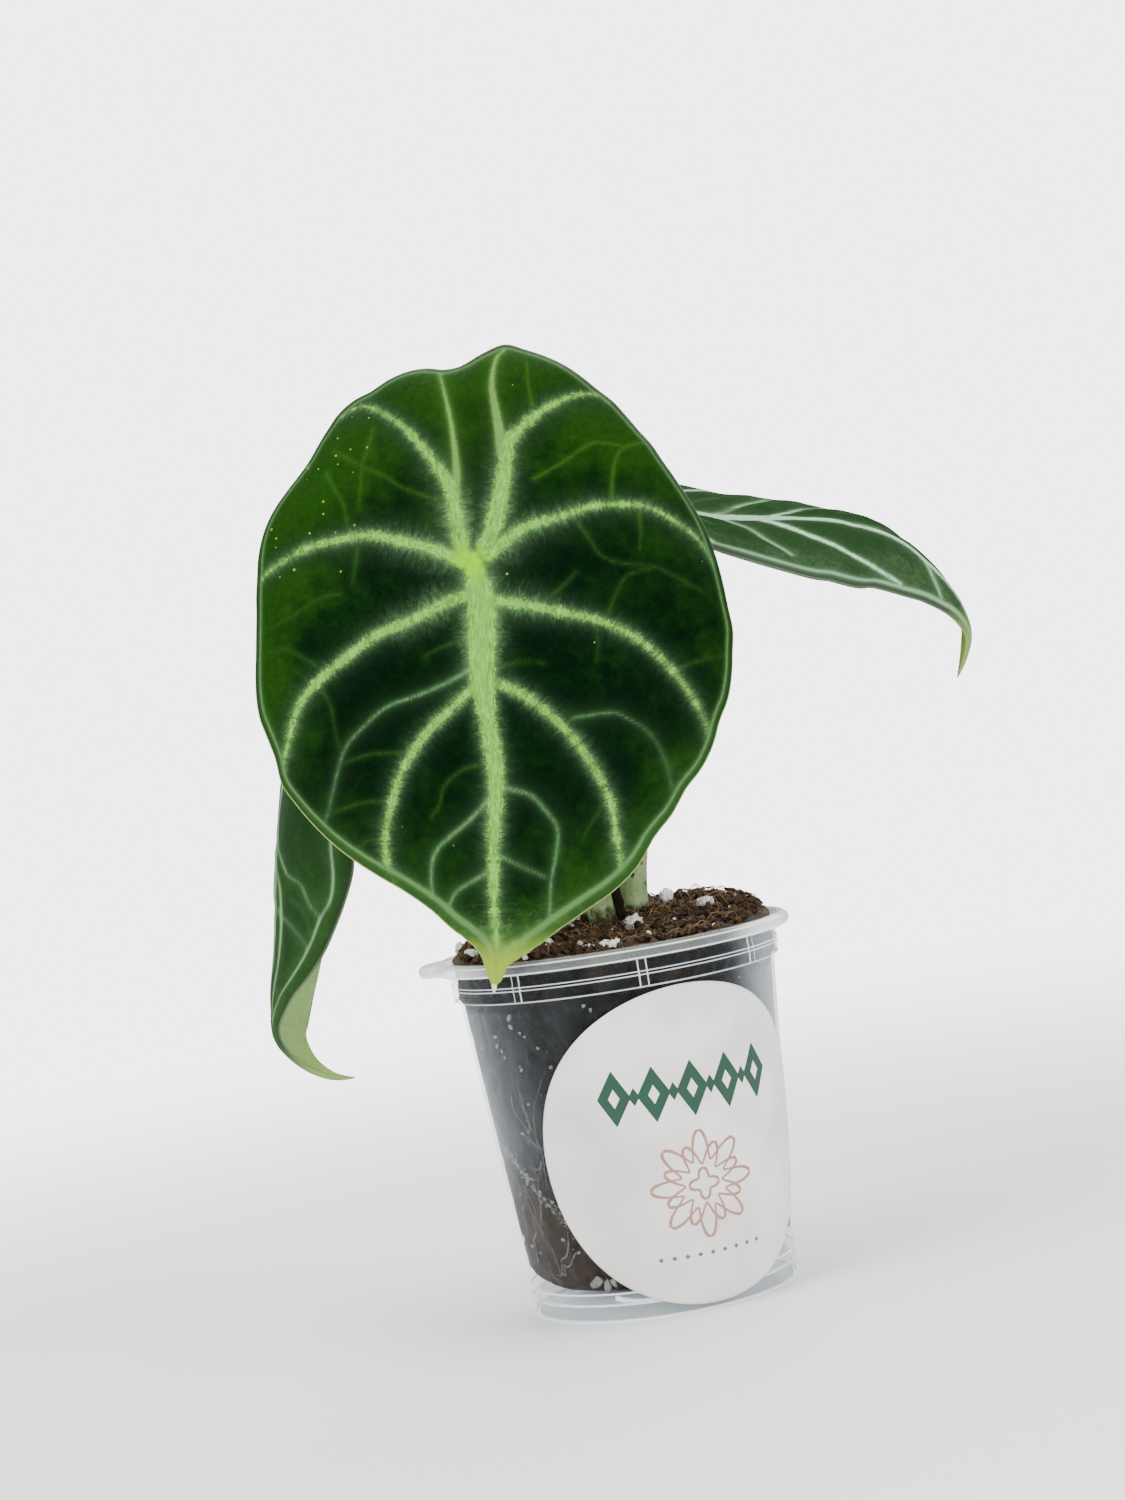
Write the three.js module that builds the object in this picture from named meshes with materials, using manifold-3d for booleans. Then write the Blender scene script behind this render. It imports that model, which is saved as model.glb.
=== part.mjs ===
// A young ninja alocasia in a clear plastic nursery pot. Millimetres, +Z up, origin at the middle of
// the pot's underside. Three shield-shaped leaves stand on round stalks, which grow from a short
// rooted stem in the soil. The plant is looked at along +Y, with +X to the right.
import * as THREE from 'three';
import { mergeVertices } from 'three/addons/utils/BufferGeometryUtils.js';
import Module from 'manifold-3d';

const wasm = await Module();
wasm.setup();

// Gap that neighbouring pieces keep.
const clearance = 0.3;

// Pot: heights above the surface that it stands on, and outer radii.
const potHeight = 62.6;
const rimRadius = 31;
const lipDepth = 2.2;
const collarRadius = 28.4;
const collarFoot = 55.4;
const collarRing = 58;
const wallTopRadius = 27.5;
const footRadius = 22.8;
const floorHeight = 4.5;
const wellRadius = 9.5;
const wallThickness = 0.8;
const step = 0.4;
const potSides = 40;
const collarRibs = 8;
const collarRibTurn = 8.5;
const collarRibWidth = 1.4;
const collarRibDepth = 0.9;
const drainSlots = 6;
const drainSlotSize = [5.5, 2.6, 6];
const drainSlotRadius = 15.5;
const tabReach = 33.8;
const tabWidth = 9;

// Label: a round paper sticker on the wall.
const labelRadius = 27;
const labelThickness = 0.3;
const labelTurn = 20.7;
const labelHeight = 28.1;
const labelColumns = 20;

// Soil: a heap with a steep edge, lower in front and higher at the back right.
const soilEdgeHeight = 62.2;
const soilHeap = 3.5;
const soilBackRise = 0.6;
const soilFrontDip = 2.8;
const soilSides = 32;
const crumbCount = 26;
const crumbReach = 24.5;
const lumpRise = 0.25;
const perlitePlaces = [
  [4, -6.5, 2.2], [0.5, -24, 1.2], [-3, -22.5, 1.1], [17, -1.5, 1.3], [11.5, 5, 1.4], [25, 4, 1.4],
  [-6.5, 0.5, 1.4], [-11, -11, 1.2], [-25, 0, 1.3], [4, 19, 1.7], [-14, 14, 1.5],
];

// Stem in the soil with its roots.
const stemRadius = 6;
const stemSetBack = 1.5;
const stemTop = 56;
const stemBottom = 38;
const rootCount = 6;
const rootRadius = 1.3;
const rootReach = 17;
const rootTurn = 25;

// Leaves: blade thickness, and how the ribs stand out below.
const bladeThickness = 0.9;
const ribHeight = 1.1;
const ribTaper = 0.6;
const quiltSpread = 4;

// Seeded random numbers between 0 and 1.
function seededRandom(seed) {
  let state = seed;
  return () => {
    state = (state * 1664525 + 1013904223) % 4294967296;
    return state / 4294967296;
  };
}

// A closed mesh as a solid. Its faces are turned outwards if they point in.
function solid(geometry) {
  const bare = geometry.clone();
  bare.deleteAttribute('normal');
  bare.deleteAttribute('uv');
  const merged = mergeVertices(bare, 1e-4);
  const vertProperties = new Float32Array(merged.attributes.position.array);
  const triVerts = new Uint32Array(merged.index.array);
  const at = (i) => new THREE.Vector3().fromArray(vertProperties, 3 * i);
  let volume = 0;
  for (let k = 0; k < triVerts.length; k += 3) {
    volume += at(triVerts[k]).dot(at(triVerts[k + 1]).cross(at(triVerts[k + 2])));
  }
  if (volume < 0) {
    triVerts.reverse();
  }
  return new wasm.Manifold(new wasm.Mesh({ numProp: 3, vertProperties, triVerts }));
}

// The solid's triangles as a geometry for a mesh.
function geometryOf(manifold) {
  const mesh = manifold.getMesh();
  const geometry = new THREE.BufferGeometry();
  geometry.setAttribute('position', new THREE.BufferAttribute(mesh.vertProperties, 3));
  geometry.setIndex(new THREE.BufferAttribute(mesh.triVerts, 1));
  return geometry;
}

function surface(points, triangles) {
  const places = points.flatMap((p) => p.toArray());
  const geometry = new THREE.BufferGeometry();
  geometry.setAttribute('position', new THREE.Float32BufferAttribute(places, 3));
  geometry.setIndex(triangles);
  return geometry;
}

function joined(solids) {
  return solids.reduce((sum, next) => sum.add(next));
}

// The main body of a piece, without loose scraps and with its sealed pockets filled.
function largest(manifold) {
  return manifold.decompose().reduce((best, next) => (next.volume() > best.volume() ? next : best));
}

// Point at a radius and a turn about the pot's axis: 0 degrees faces the viewer, 90 points to +X.
function aroundPot(radius, degrees, z) {
  const turn = THREE.MathUtils.degToRad(degrees);
  return new THREE.Vector3(radius * Math.sin(turn), -radius * Math.cos(turn), z);
}

// Smooth value between b and c, at part w of the way, with a before them and d after.
function between([a, b, c, d], w) {
  const [rise, fall] = [(c - a) / 2, (d - b) / 2];
  return b + rise * w + (3 * (c - b) - 2 * rise - fall) * w ** 2 + (2 * (b - c) + rise + fall) * w ** 3;
}

// Smooth value at place f (0 to 1) along a list of evenly spaced numbers.
function smoothAlong(values, f) {
  const last = values.length - 1;
  const i = Math.min(Math.floor(f * last), last - 1);
  return between([-1, 0, 1, 2].map((k) => values[Math.max(0, Math.min(last, i + k))]), f * last - i);
}

// Smooth curve through hand-chosen points.
function curveThrough(points) {
  return new THREE.CatmullRomCurve3(points.map((p) => new THREE.Vector3(...p)), false, 'catmullrom', 0.5);
}

// Rings of points with a step each, closed at both ends, as one solid.
function closedRings(rings) {
  const sides = rings[0].length;
  const points = rings.flat();
  const triangles = [];
  for (let i = 0; i + 1 < rings.length; i += 1) {
    for (let k = 0; k < sides; k += 1) {
      const [a, b] = [i * sides + k, i * sides + (k + 1) % sides];
      triangles.push(a, b, b + sides, a, b + sides, a + sides);
    }
  }
  const last = (rings.length - 1) * sides;
  for (let k = 1; k + 1 < sides; k += 1) {
    triangles.push(0, k + 1, k, last, last + k, last + k + 1);
  }
  return solid(surface(points, triangles));
}

// Round stalk or root along hand-chosen points, with a radius for each part of its length.
function taperedTube(path, radii, sides, steps) {
  const curve = curveThrough(path);
  const frames = curve.computeFrenetFrames(steps, false);
  const rings = [];
  for (let i = 0; i <= steps; i += 1) {
    const centre = curve.getPointAt(i / steps);
    const radius = smoothAlong(radii, i / steps);
    const ring = [];
    for (let k = 0; k < sides; k += 1) {
      const turn = (2 * Math.PI * k) / sides;
      ring.push(centre.clone()
        .addScaledVector(frames.normals[i], radius * Math.cos(turn))
        .addScaledVector(frames.binormals[i], radius * Math.sin(turn)));
    }
    rings.push(ring);
  }
  return closedRings(rings);
}

// Pot wall radius, outside, at a height below the collar.
function wallRadius(z) {
  return footRadius + ((wallTopRadius - footRadius) * z) / collarFoot;
}

function pot() {
  const lipFoot = potHeight - lipDepth;
  const inner = (z) => wallRadius(z) - wallThickness;
  const profile = [
    [0, 0], [wellRadius, 0], [wellRadius + 0.7, floorHeight - wallThickness],
    [inner(floorHeight) - 0.8, floorHeight - wallThickness], [inner(2), 2.2], [inner(0), 0],
    [footRadius, 0], [wallRadius(collarFoot), collarFoot], [collarRadius, collarFoot + step],
    [collarRadius, collarRing - step], [collarRadius + step, collarRing], [collarRadius, collarRing + step],
    [collarRadius + 0.1, lipFoot], [rimRadius - 0.3, lipFoot], [rimRadius, lipFoot + 0.5],
    [rimRadius, potHeight - 0.6], [rimRadius - 0.7, potHeight], [collarRadius - 0.2, potHeight],
    [collarRadius - wallThickness, potHeight - 1.4], [collarRadius - wallThickness, collarFoot + step],
    [wallTopRadius - wallThickness, collarFoot - step], [inner(floorHeight + 1.2), floorHeight + 1.2],
    [inner(floorHeight) - 1.2, floorHeight], [wellRadius, floorHeight],
    [wellRadius - 0.8, wallThickness], [0, wallThickness],
  ].map(([r, z]) => new THREE.Vector2(r, z));
  let body = solid(new THREE.LatheGeometry(profile, potSides).rotateX(Math.PI / 2));
  for (let k = 0; k < collarRibs; k += 1) {
    const height = lipFoot - collarFoot;
    const rib = new THREE.BoxGeometry(collarRibWidth, collarRibDepth, height);
    rib.translate(0, -collarRadius - 0.15, collarFoot + step + height / 2);
    body = body.add(solid(rib.rotateZ(THREE.MathUtils.degToRad(collarRibTurn + (360 / collarRibs) * k))));
  }
  for (let k = 0; k < drainSlots; k += 1) {
    const slot = new THREE.BoxGeometry(...drainSlotSize).translate(drainSlotRadius, 0, floorHeight);
    body = body.subtract(solid(slot.rotateZ((2 * Math.PI * (k + 0.5)) / drainSlots)));
  }
  const tab = new THREE.Shape();
  const tabRoot = -rimRadius + 2 * step;
  tab.moveTo(tabRoot, -tabWidth / 2);
  tab.lineTo(tabRoot, tabWidth / 2);
  tab.bezierCurveTo(-tabReach, tabWidth / 2, -tabReach, tabWidth / 3, -tabReach, 0);
  tab.bezierCurveTo(-tabReach, -tabWidth / 3, -tabReach, -tabWidth / 2, tabRoot, -tabWidth / 2);
  const tabSize = { depth: lipDepth - 2 * step, bevelEnabled: false, curveSegments: 5 };
  return body.add(solid(new THREE.ExtrudeGeometry(tab, tabSize).translate(0, 0, lipFoot + step)));
}

// The sticker is a flat circle rolled round the cone of the wall: s runs to its right and t up, in
// millimetres from its middle. apex is the cone's point, measured down along the wall.
function label() {
  const slope = Math.atan2(wallTopRadius - footRadius, collarFoot);
  const apex = wallRadius(labelHeight) / Math.sin(slope);
  const place = (s, t, proud) => {
    const z = labelHeight + (Math.hypot(s, apex + t) - apex) * Math.cos(slope);
    const degrees = labelTurn + THREE.MathUtils.radToDeg(Math.atan2(s, apex + t) / Math.sin(slope));
    return aroundPot(wallRadius(z) + proud, degrees, z);
  };
  const rings = [];
  for (let k = 0; k <= labelColumns; k += 1) {
    const turn = Math.PI * (0.02 + (0.96 * k) / labelColumns);
    const [s, half] = [-labelRadius * Math.cos(turn), labelRadius * Math.sin(turn)];
    const [near, far] = [clearance, clearance + labelThickness];
    rings.push([place(s, -half, near), place(s, half, near), place(s, half, far), place(s, -half, far)]);
  }
  return closedRings(rings);
}

// Height of the soil's surface: a low heap with crumbly unevenness.
function soilSurface(x, y) {
  const out = Math.min(1, Math.hypot(x, y) / collarRadius);
  const rough = 0.45 * Math.sin(0.9 * x + 0.5 * y) * Math.sin(1.1 * y - 0.3 * x)
    + 0.3 * Math.sin(1.7 * x - 1.3 * y + 2) + 0.25 * Math.sin(2.1 * y + 1.2 * x + 1);
  const rise = soilBackRise * THREE.MathUtils.smoothstep(y + 0.7 * x, -10, 24);
  const dip = soilFrontDip * THREE.MathUtils.smoothstep(-y, -6, 14);
  return soilEdgeHeight + (soilHeap + rise - dip + rough) * (1 - out ** 8);
}

// One lump of perlite or coir, partly sunk in the surface.
function lump(x, y, radius, flatten, random) {
  const shape = mergeVertices(stripped(new THREE.IcosahedronGeometry(radius, 0)), 1e-4);
  const position = shape.attributes.position;
  for (let i = 0; i < position.count; i += 1) {
    const grow = 0.8 + 0.4 * random();
    position.setXYZ(i, position.getX(i) * grow, position.getY(i) * grow, position.getZ(i) * grow * flatten);
  }
  shape.rotateZ(2 * Math.PI * random()).translate(x, y, soilSurface(x, y) + lumpRise * radius);
  return solid(shape);
}

function stripped(geometry) {
  geometry.deleteAttribute('normal');
  geometry.deleteAttribute('uv');
  return geometry;
}

function soil(holes) {
  const inner = (z) => wallRadius(z) - wallThickness - clearance;
  const collarInner = collarRadius - wallThickness - clearance;
  const bottom = wallThickness + clearance;
  const floorTop = floorHeight + clearance;
  const side = [
    [wellRadius - 0.8 - 2 * clearance, bottom], [wellRadius - clearance, floorTop],
    [inner(floorTop) - 1.6, floorTop], [inner(floorTop + 1.6), floorTop + 1.6],
    [inner(collarFoot - 1), collarFoot - 1], [collarInner, collarFoot + 1],
  ];
  const topRadii = [1, 0.93, 0.82, 0.69, 0.55, 0.4, 0.24, 0.1].map((f) => f * collarInner);
  const turns = Array.from({ length: soilSides }, (_, k) => (360 * k) / soilSides);
  const rings = side.map(([r, z]) => turns.map((degrees) => aroundPot(r, degrees, z)));
  topRadii.forEach((r) => rings.push(turns.map((degrees) => {
    const p = aroundPot(r, degrees, 0);
    return p.setZ(soilSurface(p.x, p.y));
  })));
  const random = seededRandom(11);
  let body = closedRings(rings);
  for (let k = 0; k < crumbCount; k += 1) {
    const [r, turn] = [crumbReach * Math.sqrt(random()), 360 * random()];
    const { x, y } = aroundPot(r, turn, 0);
    body = body.add(lump(x, y, 0.9 + 0.7 * random(), 0.7, random));
  }
  perlitePlaces.forEach(([x, y, radius]) => {
    body = body.add(lump(x, y, radius, 0.9, random));
  });
  return largest(body.subtract(holes));
}

// The short stem with its thick roots. It is made fatter by grow to cut its own space in the soil.
function rootedStem(grow) {
  const middle = (stemTop + stemBottom) / 2;
  const body = new THREE.SphereGeometry(1, 12, 8).rotateX(Math.PI / 2);
  body.scale(stemRadius + grow, stemRadius + grow, (stemTop - stemBottom) / 2 + grow);
  const parts = [solid(body.translate(0, stemSetBack, middle))];
  for (let k = 0; k < rootCount; k += 1) {
    const turn = rootTurn + (360 / rootCount) * k;
    const drop = 8 + 5 * (k % 3);
    const path = [
      aroundPot(1, turn, middle),
      aroundPot(0.45 * rootReach, turn + 8, middle - 0.4 * drop),
      aroundPot(0.8 * rootReach, turn + 20, middle - drop),
      aroundPot(rootReach, turn + 30, middle - 1.9 * drop),
    ].map((p) => p.toArray());
    parts.push(taperedTube(path, [rootRadius + grow, rootRadius + grow, 0.6 * rootRadius + grow], 5, 4));
  }
  return joined(parts);
}

// Stalks, from the stem up to the middle of each blade: path and the radius along it.
const stalks = {
  stalk_front: {
    path: [
      [-0.6, -2.2, 52], [-0.9, -2.2, 66], [-3.2, -3, 88],
      [-8.5, -5.5, 110], [-12.2, -11, 124.5], [-13, -15.5, 129],
    ],
    radii: [2.5, 2.45, 2.2, 1.9, 1.7, 1.9],
  },
  stalk_right: {
    path: [
      [4.6, 1.9, 52], [5, 2, 66], [6.9, 3, 78],
      [13.5, 8.5, 100], [17, 14.5, 122], [17.5, 18, 135.5],
    ],
    radii: [2.5, 2.4, 2.2, 1.9, 1.6, 1.8],
  },
  stalk_left: {
    path: [
      [-0.6, 4.6, 52], [-1.2, 4.8, 67], [-8.5, 8.5, 90],
      [-22, 14, 108], [-37, 17, 115], [-48, 14, 110.5],
    ],
    radii: [2.4, 2.3, 2, 1.7, 1.5, 1.6],
  },
};

function stalk(name, grow) {
  const { path, radii } = stalks[name];
  return taperedTube(path, radii.map((r) => r + grow), 8, 14);
}

// Leaves. axis is the midrib in space, from the notch between the back lobes to the tip, with the
// stalk's joint at its second point. across, fold and curl are evenly spaced along it: the direction
// to the blade's right side, how far both halves fold back at the midrib, in degrees, and how much
// more for each millimetre out. radii are the outline's distances from the joint, evenly spaced
// round from the tip to the right, and tipReach is the drip tip beyond them. Each rib is a list of
// places in the flat leaf, towards the tip and to the right of the joint, with its width.
const leaves = {
  leaf_front: {
    axis: [[-9, 0.5, 170], [-13, -15.5, 129], [-16.5, -27, 94], [-20, -32, 59.5]],
    across: [[1, 0, 0], [1, 0, 0]],
    fold: [3, 3],
    curl: [0.25, 0.25],
    radii: [
      62, 62, 56.2, 51.4, 48.3, 45.5, 42.6, 40.3, 39.2, 39.8, 41.8, 43.2,
      39.2, 39.4, 39.2, 37.4, 37.6, 38.8, 39.1, 41, 44.8, 49.2, 53.2, 57,
    ],
    tipReach: 10.5,
    tipSpread: 3.5,
    edgeRoll: 2,
    quilt: 0.8,
    cells: 22,
    ribs: [
      [3, [-2, 0], [15, 1], [29, 1.5], [48, 1], [66, 0.5]],
      [2, [-1, -1], [-14.5, -3.5], [-24, -8], [-32, -18]],
      [1.2, [-12, -3], [-26, -2.5], [-36, -4]],
      [2, [-1, 2], [-15.5, 5.5], [-23, 7], [-29, 13.5], [-31, 23]],
      [1.2, [-20.5, 6], [-33, 5], [-39, 6]],
      [2, [0, -1], [-6, -12], [-8, -23], [-3, -37]],
      [2, [-1, 2], [-8, 14.5], [-10, 28], [-1, 41]],
      [2, [5, 0], [9, -11], [17, -27], [31, -34.5]],
      [2, [6, 1], [9.5, 15.5], [19, 31.5], [30, 38]],
      [1.4, [17.5, 0], [23.5, -15.5], [32, -24], [42.5, -28]],
      [2, [20.5, 0], [31.5, -12], [43, -16.5], [52, -17]],
      [2, [20.5, 1], [31.5, 15.5], [42.5, 21], [52, 22]],
      [1.3, [39.5, 1], [49, -9], [55, -10.5]],
      [1.3, [39, 1], [46.5, 11.5], [60, 10]],
      [1, [27.5, 12], [28, 24], [39, 31]],
    ],
  },
  leaf_right: {
    axis: [
      [-12, 22, 139], [17.5, 18, 135.5], [32.5, 17, 131], [45, 15.5, 129], [53, 14.5, 127],
      [61.5, 13.5, 122.5], [68.5, 12.5, 114], [71.5, 12, 105], [68.5, 11, 96],
    ],
    across: [
      [0.05, 0.97, 0.24], [0.05, 0.97, 0.26], [0.05, 0.96, 0.27], [0.05, 0.9, 0.44], [0.1, 0.8, 0.6],
    ],
    fold: [-3, 0, -4, 7, 14, 2],
    curl: [0.2, 0.2, 0.2, 0.3, 0.4, 0.4],
    radii: [61, 41, 26.5, 23, 22, 24, 25, 24, 22, 23, 26.5, 41],
    tipReach: 15,
    tipSpread: 3,
    edgeRoll: 1,
    quilt: 0.7,
    cells: 20,
    ribs: [
      [2.4, [-2, 0], [20, 0], [45, 0], [66, 0]],
      [1.5, [0, 1], [-14, 5], [-21, 12]],
      [1.5, [0, -1], [-14, -5], [-21, -12]],
      [1.6, [1, 0], [3, 12], [12, 21]],
      [1.6, [1, 0], [3, -12], [12, -21]],
      [1.6, [12, 0], [22, 12], [33, 19.5]],
      [1.6, [12, 0], [22, -12], [33, -19.5]],
      [1.3, [28, 0], [38, 9], [47, 13]],
      [1.3, [28, 0], [38, -9], [47, -13]],
    ],
  },
  leaf_left: {
    axis: [
      [-38.5, 13, 135], [-48, 14, 110.5], [-53.5, 13, 94.5], [-56.5, 12, 82.5], [-58.5, 10, 69.5],
      [-60.5, 8.5, 60], [-61, 7, 53], [-58, 6, 49], [-53, 5, 45], [-48, 4, 44],
    ],
    across: [
      [0.5, -0.93, 0], [0.5, -0.93, 0], [0.2, -0.93, 0],
      [0.2, -0.93, 0], [-0.12, -0.93, 0], [-0.6, -0.93, 0],
    ],
    fold: [5, 5, 4, 20, 14, 19],
    curl: [1.4, 1.4],
    radii: [61, 38.5, 27.5, 24, 23, 25, 26, 25, 23, 24, 27.5, 38.5],
    tipReach: 15,
    tipSpread: 3,
    edgeRoll: 0.8,
    quilt: 0.6,
    cells: 20,
    ribs: [
      [2.4, [-2, 0], [20, 0], [45, 0], [66, 0]],
      [1.5, [0, 1], [-14, 5], [-21, 12]],
      [1.5, [0, -1], [-14, -5], [-21, -12]],
      [1.6, [1, 0], [3, 12], [12, 21]],
      [1.6, [1, 0], [3, -12], [12, -21]],
      [1.6, [12, 0], [22, 12], [33, 18]],
      [1.6, [12, 0], [22, -12], [33, -18]],
      [1.3, [28, 0], [38, 9], [47, 12]],
      [1.3, [28, 0], [38, -9], [47, -12]],
    ],
  },
};

function withCurve(leaf) {
  const divisions = 600;
  const curve = curveThrough(leaf.axis);
  curve.arcLengthDivisions = divisions;
  const joint = curve.getLengths()[Math.round(divisions / (leaf.axis.length - 1))];
  return { ...leaf, curve, joint, length: curve.getLength() };
}

// Outline radius at an angle from the tip: a smooth closed curve through the radii and a sharp tip.
function outlineRadius(leaf, angle) {
  const count = leaf.radii.length;
  const place = (((angle / (2 * Math.PI)) * count) % count + count) % count;
  const i = Math.floor(place);
  const smooth = between([-1, 0, 1, 2].map((k) => leaf.radii[(i + k + count) % count]), place - i);
  const off = Math.abs(Math.atan2(Math.sin(angle), Math.cos(angle)));
  return smooth + leaf.tipReach * Math.exp(-off / THREE.MathUtils.degToRad(leaf.tipSpread));
}

function distanceToRibs(leaf, p, q) {
  const place = new THREE.Vector3(p, q, 0);
  const nearest = new THREE.Vector3();
  let least = Infinity;
  leaf.ribs.forEach(([, ...places]) => {
    const points = places.map((xy) => new THREE.Vector3(...xy, 0));
    for (let k = 0; k + 1 < points.length; k += 1) {
      const line = new THREE.Line3(points[k], points[k + 1]);
      least = Math.min(least, line.closestPointToPoint(place, true, nearest).distanceTo(place));
    }
  });
  return least;
}

// Point of the bent blade over the flat place (p, q), raised above its middle surface. Between the
// ribs the blade is quilted upwards, and its margin rolls back.
function bladePoint(leaf, p, q, raised) {
  const run = leaf.joint + p;
  const f = THREE.MathUtils.clamp(run / leaf.length, 0, 1);
  const along = leaf.curve.getTangentAt(f);
  const middle = leaf.curve.getPointAt(f).addScaledVector(along, run - f * leaf.length);
  const across = new THREE.Vector3(...[0, 1, 2].map((k) => smoothAlong(leaf.across.map((v) => v[k]), f)));
  across.addScaledVector(along, -across.dot(along)).normalize();
  const up = new THREE.Vector3().crossVectors(along, across);
  const fold = THREE.MathUtils.degToRad(smoothAlong(leaf.fold, f));
  const curl = THREE.MathUtils.degToRad(smoothAlong(leaf.curl, f));
  const lean = fold + curl * Math.abs(q);
  const out = (Math.sin(lean) - Math.sin(fold)) / curl;
  const back = (Math.cos(fold) - Math.cos(lean)) / curl;
  const inside = Math.hypot(p, q) / outlineRadius(leaf, Math.atan2(q, p));
  const fromRibs = distanceToRibs(leaf, p, q) / quiltSpread;
  const puff = leaf.quilt * (1 - Math.exp(-(fromRibs ** 2))) * (1 - inside ** 8);
  const lift = raised + puff - leaf.edgeRoll * Math.min(1, inside) ** 16;
  const side = Math.sign(q);
  return middle
    .addScaledVector(across, side * (out + Math.sin(lean) * lift))
    .addScaledVector(up, Math.cos(lean) * lift - back);
}

// Grid over the unit disc: the square's rings become circles, and the lines from the middle gather
// towards the leaf's tip and its notch.
function discPlace(u, v) {
  const ring = Math.max(Math.abs(u), Math.abs(v));
  if (ring === 0) {
    return [0, 0];
  }
  const quarter = Math.PI / 4;
  let angle = quarter * (v / ring);
  if (Math.abs(u) < Math.abs(v)) {
    angle = Math.sign(v) * (2 * quarter - quarter * (u / ring));
  } else if (u < 0) {
    angle = 4 * quarter - quarter * (v / ring);
  }
  const gather = 0.3;
  return [ring, angle - gather * Math.sin(2 * angle)];
}

// The blade's two faces, split into triangles alike, with its ribs joined below.
function blade(leaf, above, below, ribGrow) {
  const cells = leaf.cells;
  const row = cells + 1;
  const faces = [above, -below].map((raised) => {
    const points = [];
    for (let i = 0; i < row; i += 1) {
      for (let j = 0; j < row; j += 1) {
        const [ring, angle] = discPlace((2 * i) / cells - 1, (2 * j) / cells - 1);
        const reach = ring ** 0.85 * outlineRadius(leaf, angle);
        points.push(bladePoint(leaf, reach * Math.cos(angle), reach * Math.sin(angle), raised));
      }
    }
    return points;
  });
  const under = row * row;
  const triangles = [];
  const quad = (a, b, c, d) => triangles.push(a, b, c, a, c, d);
  for (let i = 0; i < cells; i += 1) {
    for (let j = 0; j < cells; j += 1) {
      const [a, b, c, d] = [i * row + j, (i + 1) * row + j, (i + 1) * row + j + 1, i * row + j + 1];
      const turned = (i < cells / 2) === (j < cells / 2);
      const [e, f, g, h] = turned ? [a, b, c, d] : [b, c, d, a];
      triangles.push(e, f, g, e, g, h, under + e, under + g, under + f, under + e, under + h, under + g);
    }
  }
  for (let k = 0; k < cells; k += 1) {
    const bottom = k;
    const top = cells * row + k;
    const left = k * row;
    const right = k * row + cells;
    quad(bottom, bottom + 1, under + bottom + 1, under + bottom);
    quad(top + 1, top, under + top, under + top + 1);
    quad(left + row, left, under + left, under + left + row);
    quad(right, right + row, under + right + row, under + right);
  }
  const ribs = leaf.ribs.map(([width, ...points]) => rib(leaf, width, points, ribGrow));
  return largest(joined([solid(surface(faces.flat(), triangles)), ...ribs]));
}

// One rib below the blade, from the blade's middle surface down, thinner towards its end.
function rib(leaf, width, points, grow) {
  const curve = curveThrough(points.map((xy) => [...xy, 0]));
  const steps = points.length + 1;
  const rings = [];
  for (let i = 0; i <= steps; i += 1) {
    const { x: p, y: q } = curve.getPointAt(i / steps);
    const { x: dp, y: dq } = curve.getTangentAt(i / steps);
    const taper = 1 - ribTaper * (i / steps);
    const half = (width * taper) / 2 + grow;
    const deep = bladeThickness / 2 + ribHeight * taper * Math.min(1, width / 2) + grow;
    rings.push([[-half, 0], [half, 0], [0.5 * half, -deep], [-0.5 * half, -deep]]
      .map(([e, raised]) => bladePoint(leaf, p - e * dq, q + e * dp, raised)));
  }
  return closedRings(rings);
}

function piece(name, manifold, material) {
  const mesh = new THREE.Mesh(geometryOf(manifold), new THREE.MeshStandardMaterial(material));
  mesh.name = name;
  return mesh;
}

const group = new THREE.Group();
const clear = { color: 0xc9d6dc, roughness: 0.25, metalness: 0, transparent: true, opacity: 0.45 };
group.add(piece('pot', pot(), clear));
group.add(piece('label', label(), { color: 0xf4f3f1, roughness: 0.7, metalness: 0 }));
group.add(piece('rooted_stem', rootedStem(0), { color: 0xb9a483, roughness: 0.8, metalness: 0 }));

const stalkNames = Object.keys(stalks);
const holes = joined([rootedStem(clearance), ...stalkNames.map((name) => stalk(name, clearance))]);
group.add(piece('soil', soil(holes), { color: 0x3a2416, roughness: 1, metalness: 0 }));

const halfBlade = bladeThickness / 2;
Object.entries(leaves).forEach(([name, values], k) => {
  const leaf = withCurve(values);
  const stalkName = stalkNames[k];
  const above = 6;
  const seat = blade(leaf, above, halfBlade + clearance, clearance);
  const stem = largest(stalk(stalkName, 0).subtract(seat).subtract(rootedStem(clearance)));
  const body = blade(leaf, halfBlade, halfBlade, 0);
  group.add(piece(name, body, { color: 0x1d4a1c, roughness: 0.5, metalness: 0 }));
  group.add(piece(stalkName, stem, { color: 0xa9b790, roughness: 0.55, metalness: 0 }));
});

export default group;
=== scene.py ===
import bpy
import numpy as np
from mathutils import Matrix, Vector


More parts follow.
